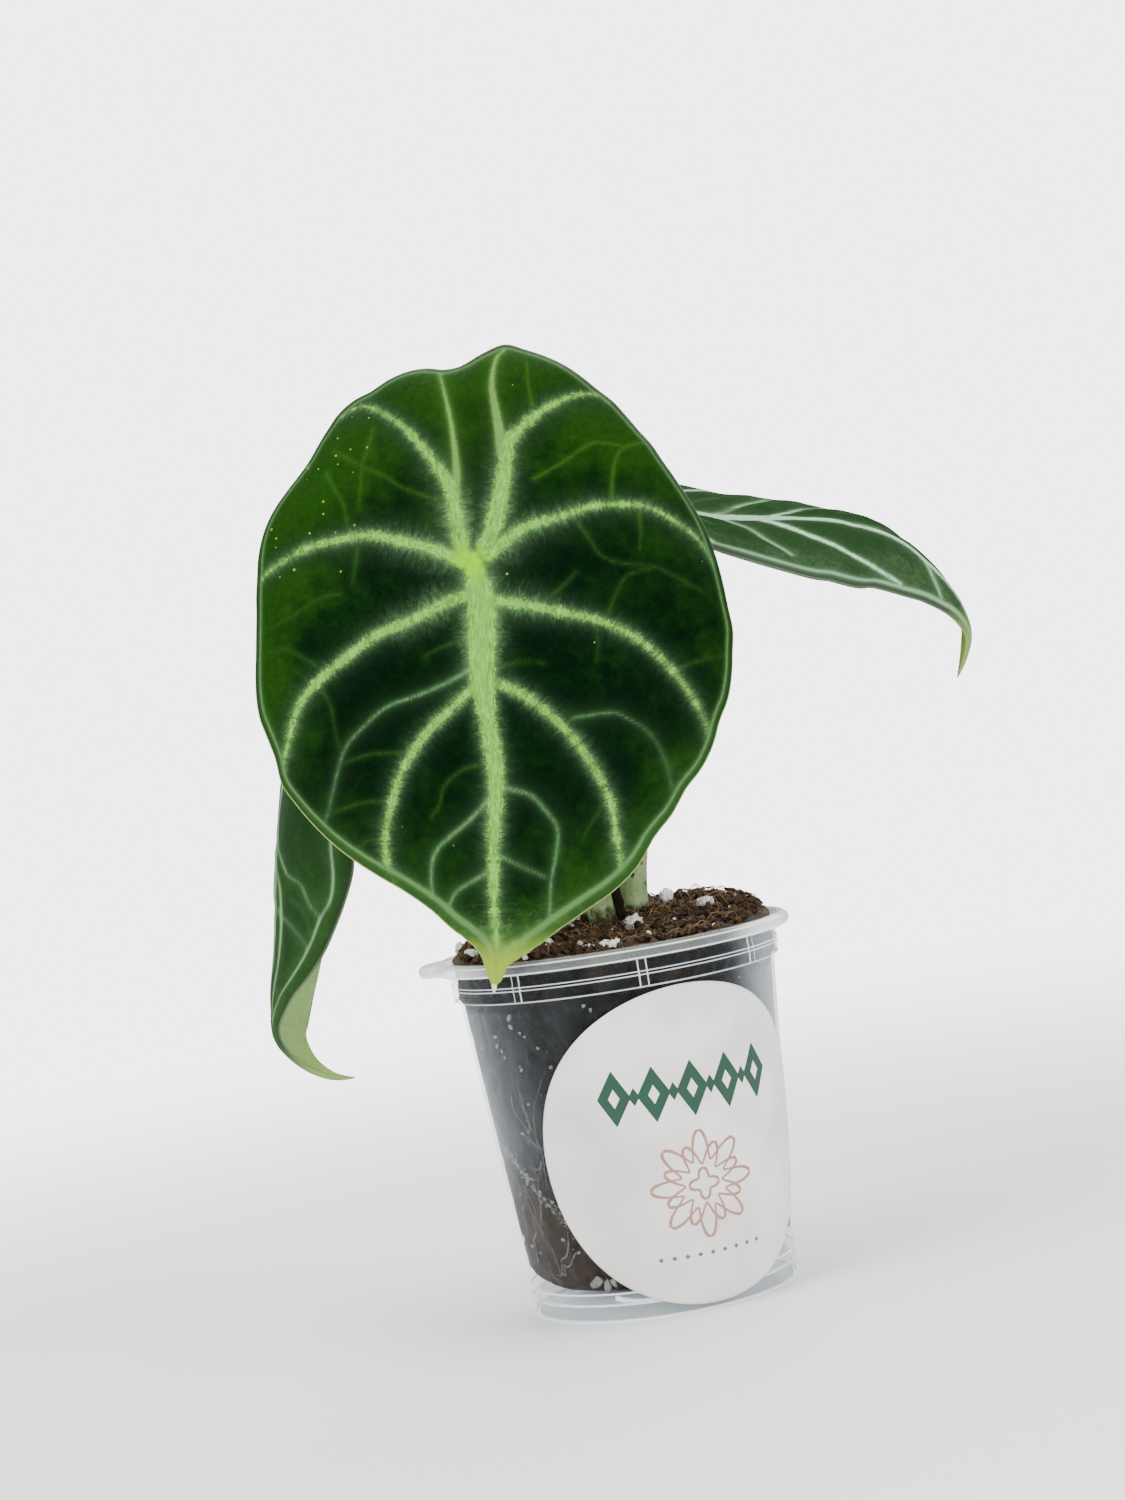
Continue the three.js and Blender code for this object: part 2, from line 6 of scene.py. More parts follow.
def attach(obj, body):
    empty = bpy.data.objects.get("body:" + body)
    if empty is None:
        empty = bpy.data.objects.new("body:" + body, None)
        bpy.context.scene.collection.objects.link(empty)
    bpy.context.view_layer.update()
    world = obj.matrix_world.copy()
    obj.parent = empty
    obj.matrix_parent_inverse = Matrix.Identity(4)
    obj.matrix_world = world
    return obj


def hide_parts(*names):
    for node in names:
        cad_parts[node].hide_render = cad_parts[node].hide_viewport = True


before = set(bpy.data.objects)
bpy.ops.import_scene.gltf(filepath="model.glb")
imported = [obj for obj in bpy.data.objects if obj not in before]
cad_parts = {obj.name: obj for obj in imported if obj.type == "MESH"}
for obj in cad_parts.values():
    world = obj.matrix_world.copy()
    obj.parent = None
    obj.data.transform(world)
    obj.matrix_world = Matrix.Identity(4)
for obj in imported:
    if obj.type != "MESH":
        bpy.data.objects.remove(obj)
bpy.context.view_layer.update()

# Pot. A thin clear polypropylene nursery pot, moulded in one piece: a tapered wall on a foot ring, a
# collar with a bead, a ledge and upright ribs, and a flange with a grip tab as its rim. The floor is
# raised inside the foot ring, with drain slots round a middle that reaches the ground.
pot_height = 62.6
rim_radius = 31.0
lip_depth = 2.2
collar_radius = 28.4
collar_foot = 55.4
collar_ring = 58.0
wall_top_radius = 27.5
foot_radius = 22.8
floor_height = 4.5
well_radius = 9.5
pot_wall = 0.5
collar_ribs = 8
collar_rib_turn = 8.5
collar_rib_width = 1.4
collar_rib_height = 0.14
collar_groove_depth = 0.12
tab_reach = 2.8
tab_width = 9.0
drain_slots = 6
drain_slot_size = (5.5, 2.6, 6.0)
drain_slot_radius = 15.5
pot_sides = 480
highlight_lines = (  # height and half width of the bends painted with a pale highlight line
    (62.1, 0.12), (60.7, 0.14), (58.28, 0.1), (57.72, 0.1), (55.65, 0.15), (5.0, 0.16), (3.0, 0.12),
    (0.25, 0.2),
)
millimetres = 1000.0


def wall_radius(z):
    """Outer radius of the pot's wall at height z: it grows evenly from the foot to the collar's foot."""
    return foot_radius + (wall_top_radius - foot_radius) * z / collar_foot


def around_pot(radius, degrees, z):
    """Point at a radius and height, turned about the pot's axis: 0 faces the viewer, 90 points to +X."""
    turn = np.radians(degrees)
    return np.stack(np.broadcast_arrays(radius * np.sin(turn), -radius * np.cos(turn), z), axis=-1)


def smooth_step(value, low, high):
    """0 below low, 1 above high, and the cubic 3t^2 - 2t^3 between them."""
    t = np.clip((value - low) / (high - low), 0, 1)
    return t * t * (3 - 2 * t)


def rounded(corners, soft):
    """Outline through corners whose bends are softened: each one becomes a quadratic curve between the
    places that lie soft before and after it, or a third of the way where the side is short."""
    corners = np.asarray(corners, float)
    before, here, after = corners[:-2], corners[1:-1], corners[2:]
    places = []
    for side in (before, after):
        away = side - here
        length = np.linalg.norm(away, axis=1, keepdims=True)
        places.append(here + away * np.minimum(soft / length, 1 / 3))
    t = np.linspace(0, 1, 4)[None, :, None]
    start, middle, end = places[0][:, None], here[:, None], places[1][:, None]
    bends = (1 - t) ** 2 * start + 2 * t * (1 - t) * middle + t ** 2 * end
    return np.concatenate([corners[:1], bends.reshape(-1, corners.shape[1]), corners[-1:]])


def grid_faces(rows, columns, round_columns=True):
    """Quads between neighbours of a grid of points, with its last column joined to the first."""
    across = columns if round_columns else columns - 1
    row, column = np.meshgrid(np.arange(rows - 1), np.arange(across), indexing="ij")
    here = (row * columns + column).ravel()
    right = (row * columns + (column + 1) % columns).ravel()
    return np.stack([here, right, right + columns, here + columns], axis=1)


def closed_rings(rings):
    """Points and faces of a solid whose skin is a grid of rings (rows, columns, 3). A point in the
    middle of the first and the last ring closes each end with a fan of triangles."""
    rows, columns = rings.shape[:2]
    points = np.concatenate([rings.reshape(-1, 3), rings[:1].mean(1), rings[-1:].mean(1)])
    here = np.arange(columns)
    beside = (here + 1) % columns
    count = rows * columns
    low = np.stack([beside, here, np.full(columns, count)], axis=1)
    high = np.stack([here, beside, np.full(columns, count + 1)], axis=1)
    high[:, :2] += count - columns
    return points, [grid_faces(rows, columns), low, high]


def add_piece(name, points, face_groups, finish):
    """A new object at the origin. Faces are reversed where their signed volume, the sum over the
    triangles of first corner dot (second cross third), says that they point inwards."""
    volume = 0
    for faces in face_groups:
        for k in range(1, faces.shape[1] - 1):
            a, b, c = points[faces[:, 0]], points[faces[:, k]], points[faces[:, k + 1]]
            volume += (a * np.cross(b, c)).sum()
    if volume < 0:
        face_groups = [faces[:, ::-1] for faces in face_groups]
    mesh = bpy.data.meshes.new(name)
    sides = [face for faces in face_groups for face in faces.tolist()]
    mesh.from_pydata((points / millimetres).tolist(), [], sides)
    mesh.shade_smooth()
    mesh.materials.append(finish)
    piece = bpy.data.objects.new(name, mesh)
    bpy.context.scene.collection.objects.link(piece)
    return piece


def set_numbers(piece, name, values):
    """Stores one number for each point, which a material reads by name."""
    store = piece.data.attributes.new(name, "FLOAT", "POINT")
    store.data.foreach_set("value", np.asarray(values, np.float32).ravel())


class Pattern:
    """A number, place or colour that varies over a surface: one output of a shader node. Python's own
    operators on such numbers add Math nodes, so that a finish reads as its formula."""

    def __init__(self, tree, socket):
        self.tree = tree
        self.socket = socket

    def output(self, name):
        """Another output of the same node."""
        return Pattern(self.tree, self.socket.node.outputs[name])

    def __add__(self, other):
        return maths("ADD", self, other)

    def __sub__(self, other):
        return maths("SUBTRACT", self, other)

    def __rsub__(self, other):
        return maths("SUBTRACT", other, self)

    def __mul__(self, other):
        return maths("MULTIPLY", self, other)

    def __truediv__(self, other):
        return maths("DIVIDE", self, other)

    def __mod__(self, other):
        return maths("FLOORED_MODULO", self, other)

    def __pow__(self, other):
        return maths("POWER", self, other)

    def __lt__(self, other):
        return maths("LESS_THAN", self, other)

    def __gt__(self, other):
        return maths("GREATER_THAN", self, other)

    def __neg__(self):
        return maths("MULTIPLY", self, -1.0)

    def __abs__(self):
        return maths("ABSOLUTE", self)


def join(tree, target, sockets):
    """Sets inputs of a node, by name or number, to values, or links them to patterns."""
    for key, value in sockets.items():
        if isinstance(value, Pattern):
            tree.links.new(value.socket, target.inputs[key])
        else:
            target.inputs[key].default_value = value


def node(tree, kind, sockets, output=0, **settings):
    """Adds a shader node and gives one of its outputs."""
    made = tree.nodes.new("ShaderNode" + kind)
    for key, value in settings.items():
        setattr(made, key, value)
    join(tree, made, sockets)
    return Pattern(tree, made.outputs[output])


def maths(operation, *values):
    """Result of a Math node on values of which at least one is a pattern."""
    tree = next(value.tree for value in values if isinstance(value, Pattern))
    return node(tree, "Math", dict(enumerate(values)), operation=operation)


def ramp(value, low, high, bottom=0.0, top=1.0):
    """Smooth step of a value from low to high, given as a number from bottom to top."""
    sockets = {"Value": value, "From Min": low, "From Max": high, "To Min": bottom, "To Max": top}
    return node(value.tree, "MapRange", sockets, interpolation_type="SMOOTHSTEP")


def mixed(share, low, high):
    """Colour between low and high by share. A colour is red, green, blue from 0 to 1, or a pattern."""
    low, high = (colour if isinstance(colour, Pattern) else (*colour, 1.0) for colour in (low, high))
    return node(share.tree, "Mix", {"Factor": share, 6: low, 7: high}, 2, data_type="RGBA")


def layered(colour, *layers):
    """A colour with others laid over it in turn, each given as a pair of its share and its colour."""
    for share, above in layers:
        colour = mixed(share, colour, above)
    return colour


def noise(place, scale, detail=3.0, roughness=0.5, distortion=0.0):
    """Noise around 0.5 at a place, with scale given in features for each unit of the place."""
    sockets = {"Vector": place, "Scale": scale, "Detail": detail, "Roughness": roughness,
               "Distortion": distortion}
    return node(place.tree, "TexNoise", sockets)


def stretched(place, scales):
    """The place with its three coordinates scaled, so that a pattern on it is drawn out."""
    return node(place.tree, "Mapping", {"Vector": place, "Scale": scales})


def coordinate(place, k):
    """One of the place's three coordinates."""
    return node(place.tree, "SeparateXYZ", {0: place}, k)


def bump(height, distance, strength, under=None):
    """Normal of a surface that height, from 0 to 1, raises by up to distance metres, above another."""
    sockets = {"Height": height, "Distance": distance, "Strength": strength}
    if under is not None:
        sockets["Normal"] = under
    return node(height.tree, "Bump", sockets)


def new_finish(name):
    """A new material, and the place of the point shaded, in metres."""
    finish = bpy.data.materials.new(name)
    finish.use_nodes = True
    return finish, node(finish.node_tree, "TexCoord", {}, "Object")


def number(finish, name):
    """The stored number of that name at the point shaded."""
    return node(finish.node_tree, "Attribute", {}, "Fac", attribute_name=name)


def surfaced(finish, sockets):
    """The material, with inputs of its Principled shader set or linked."""
    join(finish.node_tree, finish.node_tree.nodes["Principled BSDF"], sockets)
    return finish


def clear_plastic():
    """Clear plastic with a bluish haze. It hides more under water stains and along fine scuffs and at the
    foot, and less on the collar. Edge-on, and most along its right side, it is paler and hides more, as
    painted reflection. The lip is milky at its left and right ends. Bends and the ribs' edges carry thin pale
    lines, painted highlights where they catch the light: 1 near them, 0 beyond."""
    finish, place = new_finish("clear plastic")
    x, z = (coordinate(place, k) * millimetres for k in (0, 2))
    from_rib, lip, outer = (number(finish, key) for key in ("from_rib", "lip", "outer"))
    off_edge = abs(from_rib - collar_rib_width / 2)
    line = maths("MAXIMUM", ramp(off_edge, 0.16, 0.08), ramp(from_rib, 0.14, 0.06, 0.0, 0.5))
    # Pale lines at the bends and the ribs' edges: painted highlights.
    for height, half in highlight_lines:
        line = maths("MAXIMUM", line, ramp(abs(z - height), half + 0.05, half - 0.05))
    line = line * outer
    facing = node(place.tree, "LayerWeight", {"Blend": 0.5}, "Facing")
    stains = noise(stretched(place, (1, 1, 0.35)), 110, 5, 0.6)
    scuffs = noise(stretched(place, (1, 1, 14)), 160, 5, 0.65)
    haze = ramp(stains, 0.45, 0.8, 0.002, 0.022) + ramp(scuffs, 0.62, 0.76, 0.0, 0.012)
    # The edge-on part of the haze, by Facing, is painted reflection.
    haze = (haze + facing ** 2.6 * ramp(z, 16.0, 34.0, 0.1, 0.3)) * ramp(z, 53.5, 55.0, 1.0, 0.45)
    foot = ramp(z, 5.4, 4.6, 0.0, 0.16)
    # Along the right side, more edge-on, the plastic is paler and hides more: painted reflection.
    right_reflection = ramp(x, 18.0, 28.0, 0.0, 0.36) * ramp(z, 4.0, 40.0, 0.35, 1.0)
    right_reflection = right_reflection * ramp(facing, 0.02, 0.45, 0.15, 1.0)
    milky = stains * 0.16 + ramp(abs(x), 17.0, 28.0, 0.06, 0.62)
    hidden = haze + line * 0.6 + lip * milky + foot + right_reflection * outer
    tint = mixed(lip, (0.62, 0.71, 0.77), (0.76, 0.85, 0.82))
    return surfaced(finish, {
        "Alpha": maths("MINIMUM", hidden, 0.94),
        "Base Color": mixed(line, tint, (0.93, 0.96, 1.0)),
        "Roughness": ramp(stains, 0.3, 0.7, 0.14, 0.26),
        "Normal": bump(stains, 0.0004, 0.12),
        "IOR": 1.49,
    })


def make_pot():
    """The pot as rings round its axis. At each turn the radius is the profile's, plus the ribs' height
    on the collar and the grip tab's reach on the flange. The material is told how far each point is
    from a rib, and what is lip or outside."""
    lip_foot = pot_height - lip_depth
    inner = lambda z: wall_radius(z) - pot_wall
    bead = ((0, -0.85), (0.12, -0.65), (0.12, -0.35), (0, -0.15),
            (0, 0.15), (0.12, 0.35), (0.12, 0.65), (0, 0.85))
    corners = [
        (0.01, 0.0), (well_radius, 0.0), (well_radius + 0.7, floor_height - pot_wall),
        (inner(4) - 0.9, floor_height - pot_wall), (inner(2.4), 2.2), (inner(0) - 0.1, 0.0),
        (foot_radius, 0.0), (wall_radius(2.6), 2.6), (wall_radius(3.0) - 0.15, 3.0), (wall_radius(3.4), 3.4),
        (wall_radius(collar_foot), collar_foot), (collar_radius, collar_foot + 0.35),
        *[(collar_radius + out, collar_ring + up) for out, up in bead],
        (collar_radius + 0.05, lip_foot), (rim_radius - 0.5, lip_foot),
        (rim_radius, lip_foot + 0.6), (rim_radius, pot_height - 0.7), (rim_radius - 0.9, pot_height),
        (collar_radius - 0.1, pot_height), (collar_radius - pot_wall, pot_height - 1.4),
        (collar_radius - pot_wall, collar_foot + 0.5), (inner(collar_foot - 0.8), collar_foot - 0.8),
        (inner(floor_height + 2.2), floor_height + 2.2), (inner(floor_height) - 1.4, floor_height),
        (well_radius, floor_height), (well_radius - 0.7, pot_wall), (0.01, pot_wall),
    ]
    profile = rounded(corners, 0.35)
    radius, height = profile[:, :1], profile[:, 1:]
    degrees = np.linspace(0, 360, pot_sides, endpoint=False)[None]
    outside = np.arange(len(profile))[:, None] < np.argmax(profile[:, 1])
    on_collar = outside & (height > collar_foot + 0.2) & (height < lip_foot) & (radius < collar_radius + 0.5)
    spacing = 360 / collar_ribs
    off_rib = np.abs((degrees - collar_rib_turn + spacing / 2) % spacing - spacing / 2)
    from_rib = np.radians(off_rib) * collar_radius
    rib = 1 - smooth_step(from_rib, collar_rib_width / 2 - 0.15, collar_rib_width / 2 + 0.15)
    groove = 1 - smooth_step(from_rib, 0.15, 0.4)
    ribs = np.where(on_collar, collar_rib_height * rib - collar_groove_depth * groove, 0)
    from_tab = np.abs((degrees + 90 + 180) % 360 - 180) * np.radians(1) * rim_radius / (tab_width / 2)
    tab = tab_reach * np.sqrt(1 - np.clip(from_tab, 0, 1) ** 3)
    radii = radius + ribs + tab * smooth_step(radius, rim_radius - 1.4, rim_radius - 0.6)
    pot_points, pot_faces = closed_rings(around_pot(radii, degrees, height * np.ones_like(degrees)))
    piece = add_piece("clear_pot", pot_points, pot_faces, clear_plastic())
    lip = smooth_step(radius, collar_radius + 0.5, collar_radius + 0.9)
    for key, values in (("from_rib", np.where(on_collar, from_rib, 9)), ("lip", lip), ("outer", outside)):
        set_numbers(piece, key, np.append(values * np.ones_like(degrees), [0, 0]))
    return piece


def cut_slots(piece):
    """Cuts the drain slots: upright boxes, long side out, evenly spaced round the floor."""
    length, width, depth = drain_slot_size
    corner = np.array([(x, y, z) for x in (-1, 1) for y in (-1, 1) for z in (-1, 1)]) / 2
    corner = corner * (length, width, depth) + (drain_slot_radius, 0, floor_height)
    sides = np.array([(0, 1, 3, 2), (4, 6, 7, 5), (0, 4, 5, 1), (2, 3, 7, 6), (0, 2, 6, 4), (1, 5, 7, 3)])
    boxes = []
    for k in range(drain_slots):
        turn = np.radians(360 / drain_slots * (k + 0.5))
        spin = np.array([[np.cos(turn), np.sin(turn), 0], [-np.sin(turn), np.cos(turn), 0], [0, 0, 1]])
        boxes.append(corner @ spin)
    faces = np.concatenate([sides + 8 * k for k in range(drain_slots)])
    cutter = add_piece("slot_cutter", np.concatenate(boxes), [faces], piece.data.materials[0])
    cut = piece.modifiers.new("slots", "BOOLEAN")
    cut.operation = "DIFFERENCE"
    cut.solver = "EXACT"
    cut.object = cutter
    finished = piece.evaluated_get(bpy.context.evaluated_depsgraph_get())
    mesh = bpy.data.meshes.new_from_object(finished)
    piece.modifiers.clear()
    piece.data = mesh
    bpy.data.objects.remove(cutter)


pot = make_pot()
cut_slots(pot)
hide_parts("pot")
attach(pot, "root")

# Label. A round paper sticker, rolled onto the cone of the wall at the right of the front. It is white paper,
# with painted shade darkening it towards its lower left, printed with a row of green lozenges, a rosette
# drawn in thin dusty brown lines, and a row of small dark dots.
label_radius = 27.0
label_thickness = 0.22
label_turn = 20.7
label_height = 28.1
flat_unit = 100.0
lozenge_row = (6.6, 5.6, 9.6, 9.5, 5)
link_row = (6.6, 1.9, 3.2, 9.5, 4)
dot_row = (2.2, 0.9, 0.9, -18.5, 9)
rosette_drop = 6.8
rosette_lines = ((8, 6.6, 2.4), (8, 5.2, -1.8), (4, 2.0, 0.6))
rosette_line_half = 0.17


def grain(points, size, seed):
    """Smooth random value from -1 to 1 at each point: random numbers at the corners of cubes of that
    size, blended by a smooth step along each side of the cube."""
    table = np.random.default_rng(seed).uniform(-1, 1, 4096)
    cell = np.asarray(points, float) / size
    low = np.floor(cell).astype(np.int64)
    w = cell - low
    w = w * w * (3 - 2 * w)
    total = 0
    for k in range(8):
        step = np.array([k & 1, k >> 1 & 1, k >> 2 & 1])
        x, y, z = np.moveaxis(low + step, -1, 0)
        share = np.where(step, w, 1 - w).prod(-1)
        total = total + share * table[(x * 73856093 ^ y * 19349663 ^ z * 83492791) % 4096]
    return total


def flat_place(finish):
    """The point shaded on the map named flat, whose unit is flat_unit millimetres."""
    return node(finish.node_tree, "UVMap", {}, uv_map="flat")


def label_paper():
    """Matte paper with fine fibres and faint clouds. The print is worked out from the flat place on the
    sticker: a lozenge is |x| / half width + |y| / half height < 1, repeated along a row, and the rosette
    is a line of even width round radius = middle + swing x cos(petals x angle)."""
    finish, place = new_finish("label paper")
    flat = flat_place(finish)
    across, up = (coordinate(flat, k) * flat_unit for k in (0, 1))

    def lozenges(pitch, width, height, level, count):
        """For a row of lozenges, the sum in the formula and 1 inside each lozenge."""
        along = (across + pitch / 2 * (count % 2)) % pitch - pitch / 2
        reach = abs(along) * (2 / width) + abs(up - level) * (2 / height)
        return reach, (reach < 1.0) * (abs(across) < pitch * count / 2)

    reach, large = lozenges(*lozenge_row)
    green = maths("MAXIMUM", large * (reach > 0.34), lozenges(*link_row)[1])
    above = up + rosette_drop
    angle = maths("ARCTAN2", above, across)
    from_middle = maths("SQRT", across * across + above * above)
    brown = 0.0
    for petals, middle, swing in rosette_lines:
        turn = angle * petals
        off_line = abs(from_middle - (maths("COSINE", turn) * swing + middle))
        slope = abs(maths("SINE", turn)) * (abs(swing) * petals / middle) + 1.0
        brown = maths("MAXIMUM", off_line / slope < rosette_line_half, brown)

    fibres = noise(place, 2600, 4, 0.6)
    cloud = noise(place, 90, 3)
    colour = layered(
        mixed(ramp(cloud, 0.3, 0.7), (0.72, 0.70, 0.68), (0.88, 0.87, 0.85)),
        (ramp(fibres, 0.62, 0.8, 0.0, 0.25), (0.66, 0.64, 0.61)),
        # Darker towards the lower left: painted shade.
        (ramp(across + up, -24.0, 14.0, 0.3, 0.0), (0.42, 0.40, 0.37)),
        (green, (0.013, 0.055, 0.034)),
        (brown, (0.36, 0.19, 0.14)),
        (lozenges(*dot_row)[1], (0.10, 0.12, 0.11)))
    return surfaced(finish, {"Base Color": colour, "Roughness": 0.62, "Normal": bump(fibres, 0.00003, 0.6)})


def make_label():
    """A flat disc of thin paper, place (s, t) from its middle, rolled round the cone: a point keeps its
    distance from the cone's apex, and its turn is its angle there divided by the wall's slope."""
    slope = np.arctan2(wall_top_radius - foot_radius, collar_foot)
    apex = wall_radius(label_height) / np.sin(slope)
    rings, spokes = 60, 240
    part = np.linspace(0, 1, rings + 1)[1:, None]
    turn = np.linspace(0, 2 * np.pi, spokes, endpoint=False)[None]
    s, t = label_radius * part * np.cos(turn), label_radius * part * np.sin(turn)
    z = label_height + (np.hypot(s, apex + t) - apex) * np.cos(slope)
    degrees = label_turn + np.degrees(np.arctan2(s, apex + t) / np.sin(slope))
    flat = np.stack([s, t, 0 * s], -1)
    lifted = 0.07 * grain(flat, 9.0, 5) * grain(flat, 2.6, 6) * (1 - part ** 6)
    out = wall_radius(z) + 0.2 + lifted
    front = around_pot(out + label_thickness, degrees, z)
    back = around_pot(out, degrees, z)
    points, faces = closed_rings(np.concatenate([back, front[::-1]]))
    piece = add_piece("paper_label", points, faces, label_paper())
    across, up = (np.append(np.concatenate([side, side[::-1]]), [0, 0]) for side in (s, t))
    lay_flat(piece, across, up)
    return piece


def lay_flat(piece, across, up):
    """Gives each corner of each face its flat place, in units of flat_unit, as the map named flat."""
    corner = np.zeros(len(piece.data.loops), np.int64)
    piece.data.loops.foreach_get("vertex_index", corner)
    store = piece.data.uv_layers.new(name="flat")
    store.data.foreach_set("uv", (np.stack([across, up], 1)[corner] / flat_unit).astype(np.float32).ravel())


label = make_label()
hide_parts("label")
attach(label, "root")

# Soil. Damp dark coir, pressed against the wall and heaped above the rim, lower in front. Its body is
# one closed skin, and loose crumbs and fibres lie on the heap.
soil_edge_height = 62.2
soil_heap = 3.5
soil_back_rise = 0.6
soil_front_dip = 2.8
soil_gap = 0.08
crumb_count = 3800
fibre_count = 620
crumb_field = 26.3
fibre_field = 25.5
fibre_limit = 26.6


def soil_height(x, y):
    """Height of the heap: flat inside and steep at the edge as 1 - out^8, higher at the back right and
    lower in front, with three crossed waves as unevenness."""
    out = np.minimum(1, np.hypot(x, y) / collar_radius)
    rough = 0.45 * np.sin(0.9 * x + 0.5 * y) * np.sin(1.1 * y - 0.3 * x)
    rough = rough + 0.3 * np.sin(1.7 * x - 1.3 * y + 2) + 0.25 * np.sin(2.1 * y + 1.2 * x + 1)
    rise = soil_back_rise * smooth_step(y + 0.7 * x, -10, 24)
    dip = soil_front_dip * smooth_step(-y, -6, 14)
    return soil_edge_height + (soil_heap + rise - dip + rough) * (1 - out ** 8)


def coir(name, dark, light, fleck):
    """Damp coir: dark and light brown by grain and by the crumb's own tint, with paler fibre flecks.
    Where it is pressed against the wall it is almost black: brownish and wet below a slanting water line, and
    bluish above it, where the bluish haze of the plastic wall in front is painted on as reflection."""
    finish, place = new_finish(name)
    fine = noise(place, 1700, 5, 0.65)
    coarse = noise(place, 420, 3)
    threads = noise(stretched(place, (1, 0.25, 1)), 2300, 2, 0.5)
    x, z = (coordinate(place, k) * millimetres for k in (0, 2))
    level = z + x * 0.75 + (coarse - 0.5) * 12.0
    # Against the wall: dark brown below the slanting line, and above it a bluish tone that is painted
    # reflection of the plastic wall.
    wet = mixed(ramp(level, 6.0, 11.0), (0.016, 0.0115, 0.0080), (0.0065, 0.0084, 0.0094))
    colour = layered(
        mixed(ramp(number(finish, "tint") * 0.55 + fine * 0.5, 0.2, 0.75), dark, light),
        (ramp(threads, 0.66, 0.74, 0.0, 0.6), fleck),
        (ramp(coarse, 0.3, 0.5, 0.45, 0.0), (0.006, 0.004, 0.003)),
        (number(finish, "pressed") * ramp(level, 6.0, 20.0, 0.85, 0.95), wet))
    return surfaced(finish, {
        "Base Color": colour,
        "Roughness": ramp(coarse, 0.3, 0.7, 0.62, 0.95),
        "Normal": bump(fine, 0.0005, 0.8),
        "Specular IOR Level": 0.3,
    })


def make_soil():
    """Rings up the wall and then in over the heap, each point moved by three sizes of random grain:
    inwards on the wall, so that pits show between what touches it, and up and down on the heap."""
    sides = 300
    degrees = np.linspace(0, 360, sides, endpoint=False)[None]
    inner = lambda z: wall_radius(z) - pot_wall - soil_gap
    collar_inner = collar_radius - pot_wall - soil_gap
    side = [(well_radius - 1.2, pot_wall + 0.2), (well_radius - 0.3, floor_height + 0.2)]
    side += [(r, floor_height + 0.3) for r in np.linspace(well_radius + 2, inner(floor_height) - 3.5, 5)]
    side += [(inner(z) - 3.2 * (1 - (z - 5.0) / 4.5) ** 2.5, z) for z in (5.2, 5.7, 6.5, 7.5, 8.5)]
    side += [(inner(z), z) for z in np.linspace(9.5, collar_foot - 0.6, 68)]
    side += [(collar_inner, z) for z in np.linspace(collar_foot + 0.8, soil_edge_height - 0.6, 9)]
    side = np.array(side)
    top_radius = collar_inner * np.linspace(1, 0.03, 62)[:, None]
    wall_rings = around_pot(side[:, :1], degrees, side[:, 1:] * np.ones_like(degrees))
    top_rings = around_pot(top_radius, degrees, 0.0)
    top_rings[..., 2] = soil_height(top_rings[..., 0], top_rings[..., 1])
    rings = np.concatenate([wall_rings, top_rings])
    lumps = 0.5 * grain(rings, 2.6, 1) + 0.32 * grain(rings, 1.2, 2) + 0.18 * grain(rings, 0.7, 3)
    count = len(side)
    inward = np.minimum(0, lumps[:count] - 0.15)
    inward = inward * smooth_step(side[:, 1:], floor_height - 1, floor_height + 3)
    out = np.hypot(rings[:count, :, 0], rings[:count, :, 1])
    rings[:count, :, :2] *= (1 + 1.1 * inward / out)[..., None]
    rings[count:, :, 2] += 1.3 * lumps[count:] * (1 - (top_radius / collar_inner) ** 12)
    points, faces = closed_rings(rings)
    brown = coir("coir", (0.009, 0.0055, 0.003), (0.075, 0.045, 0.022), (0.24, 0.155, 0.08))
    piece = add_piece("soil_body", points, faces, brown)
    set_numbers(piece, "tint", 0.5 + 0.5 * grain(points, 1.6, 4))
    on_wall = np.arange(len(points)) < count * sides
    set_numbers(piece, "pressed", on_wall * (1 - 0.35 * np.clip(grain(points, 3.5, 7), 0, 1)))
    return piece, brown


def unit(vectors):
    """The vectors with length 1."""
    return vectors / np.linalg.norm(vectors, axis=-1, keepdims=True)


def twenty_faces():
    """Corners and faces of the regular solid with twenty triangles, at distance 1 from its middle."""
    g = (1 + 5 ** 0.5) / 2
    corners = np.array([(-1, g, 0), (1, g, 0), (-1, -g, 0), (1, -g, 0), (0, -1, g), (0, 1, g),
                        (0, -1, -g), (0, 1, -g), (g, 0, -1), (g, 0, 1), (-g, 0, -1), (-g, 0, 1)], float)
    faces = np.array([(0, 11, 5), (0, 5, 1), (0, 1, 7), (0, 7, 10), (0, 10, 11), (1, 5, 9), (5, 11, 4),
                      (11, 10, 2), (10, 7, 6), (7, 1, 8), (3, 9, 4), (3, 4, 2), (3, 2, 6), (3, 6, 8),
                      (3, 8, 9), (4, 9, 5), (2, 4, 11), (6, 2, 10), (8, 6, 7), (9, 8, 1)])
    return unit(corners), faces


def finer(corners, faces):
    """Each triangle split in four at the middles of its sides, which move out to distance 1."""
    pairs = np.sort(faces[:, [0, 1, 1, 2, 2, 0]].reshape(-1, 2), axis=1)
    sides, which = np.unique(pairs, axis=0, return_inverse=True)
    ab, bc, ca = (which.reshape(-1, 3) + len(corners)).T
    a, b, c = faces.T
    split = [(a, ab, ca), (b, bc, ab), (c, ca, bc), (ab, bc, ca)]
    corners = np.concatenate([corners, unit(corners[sides].mean(1))])
    return corners, np.concatenate([np.stack(three, 1) for three in split])


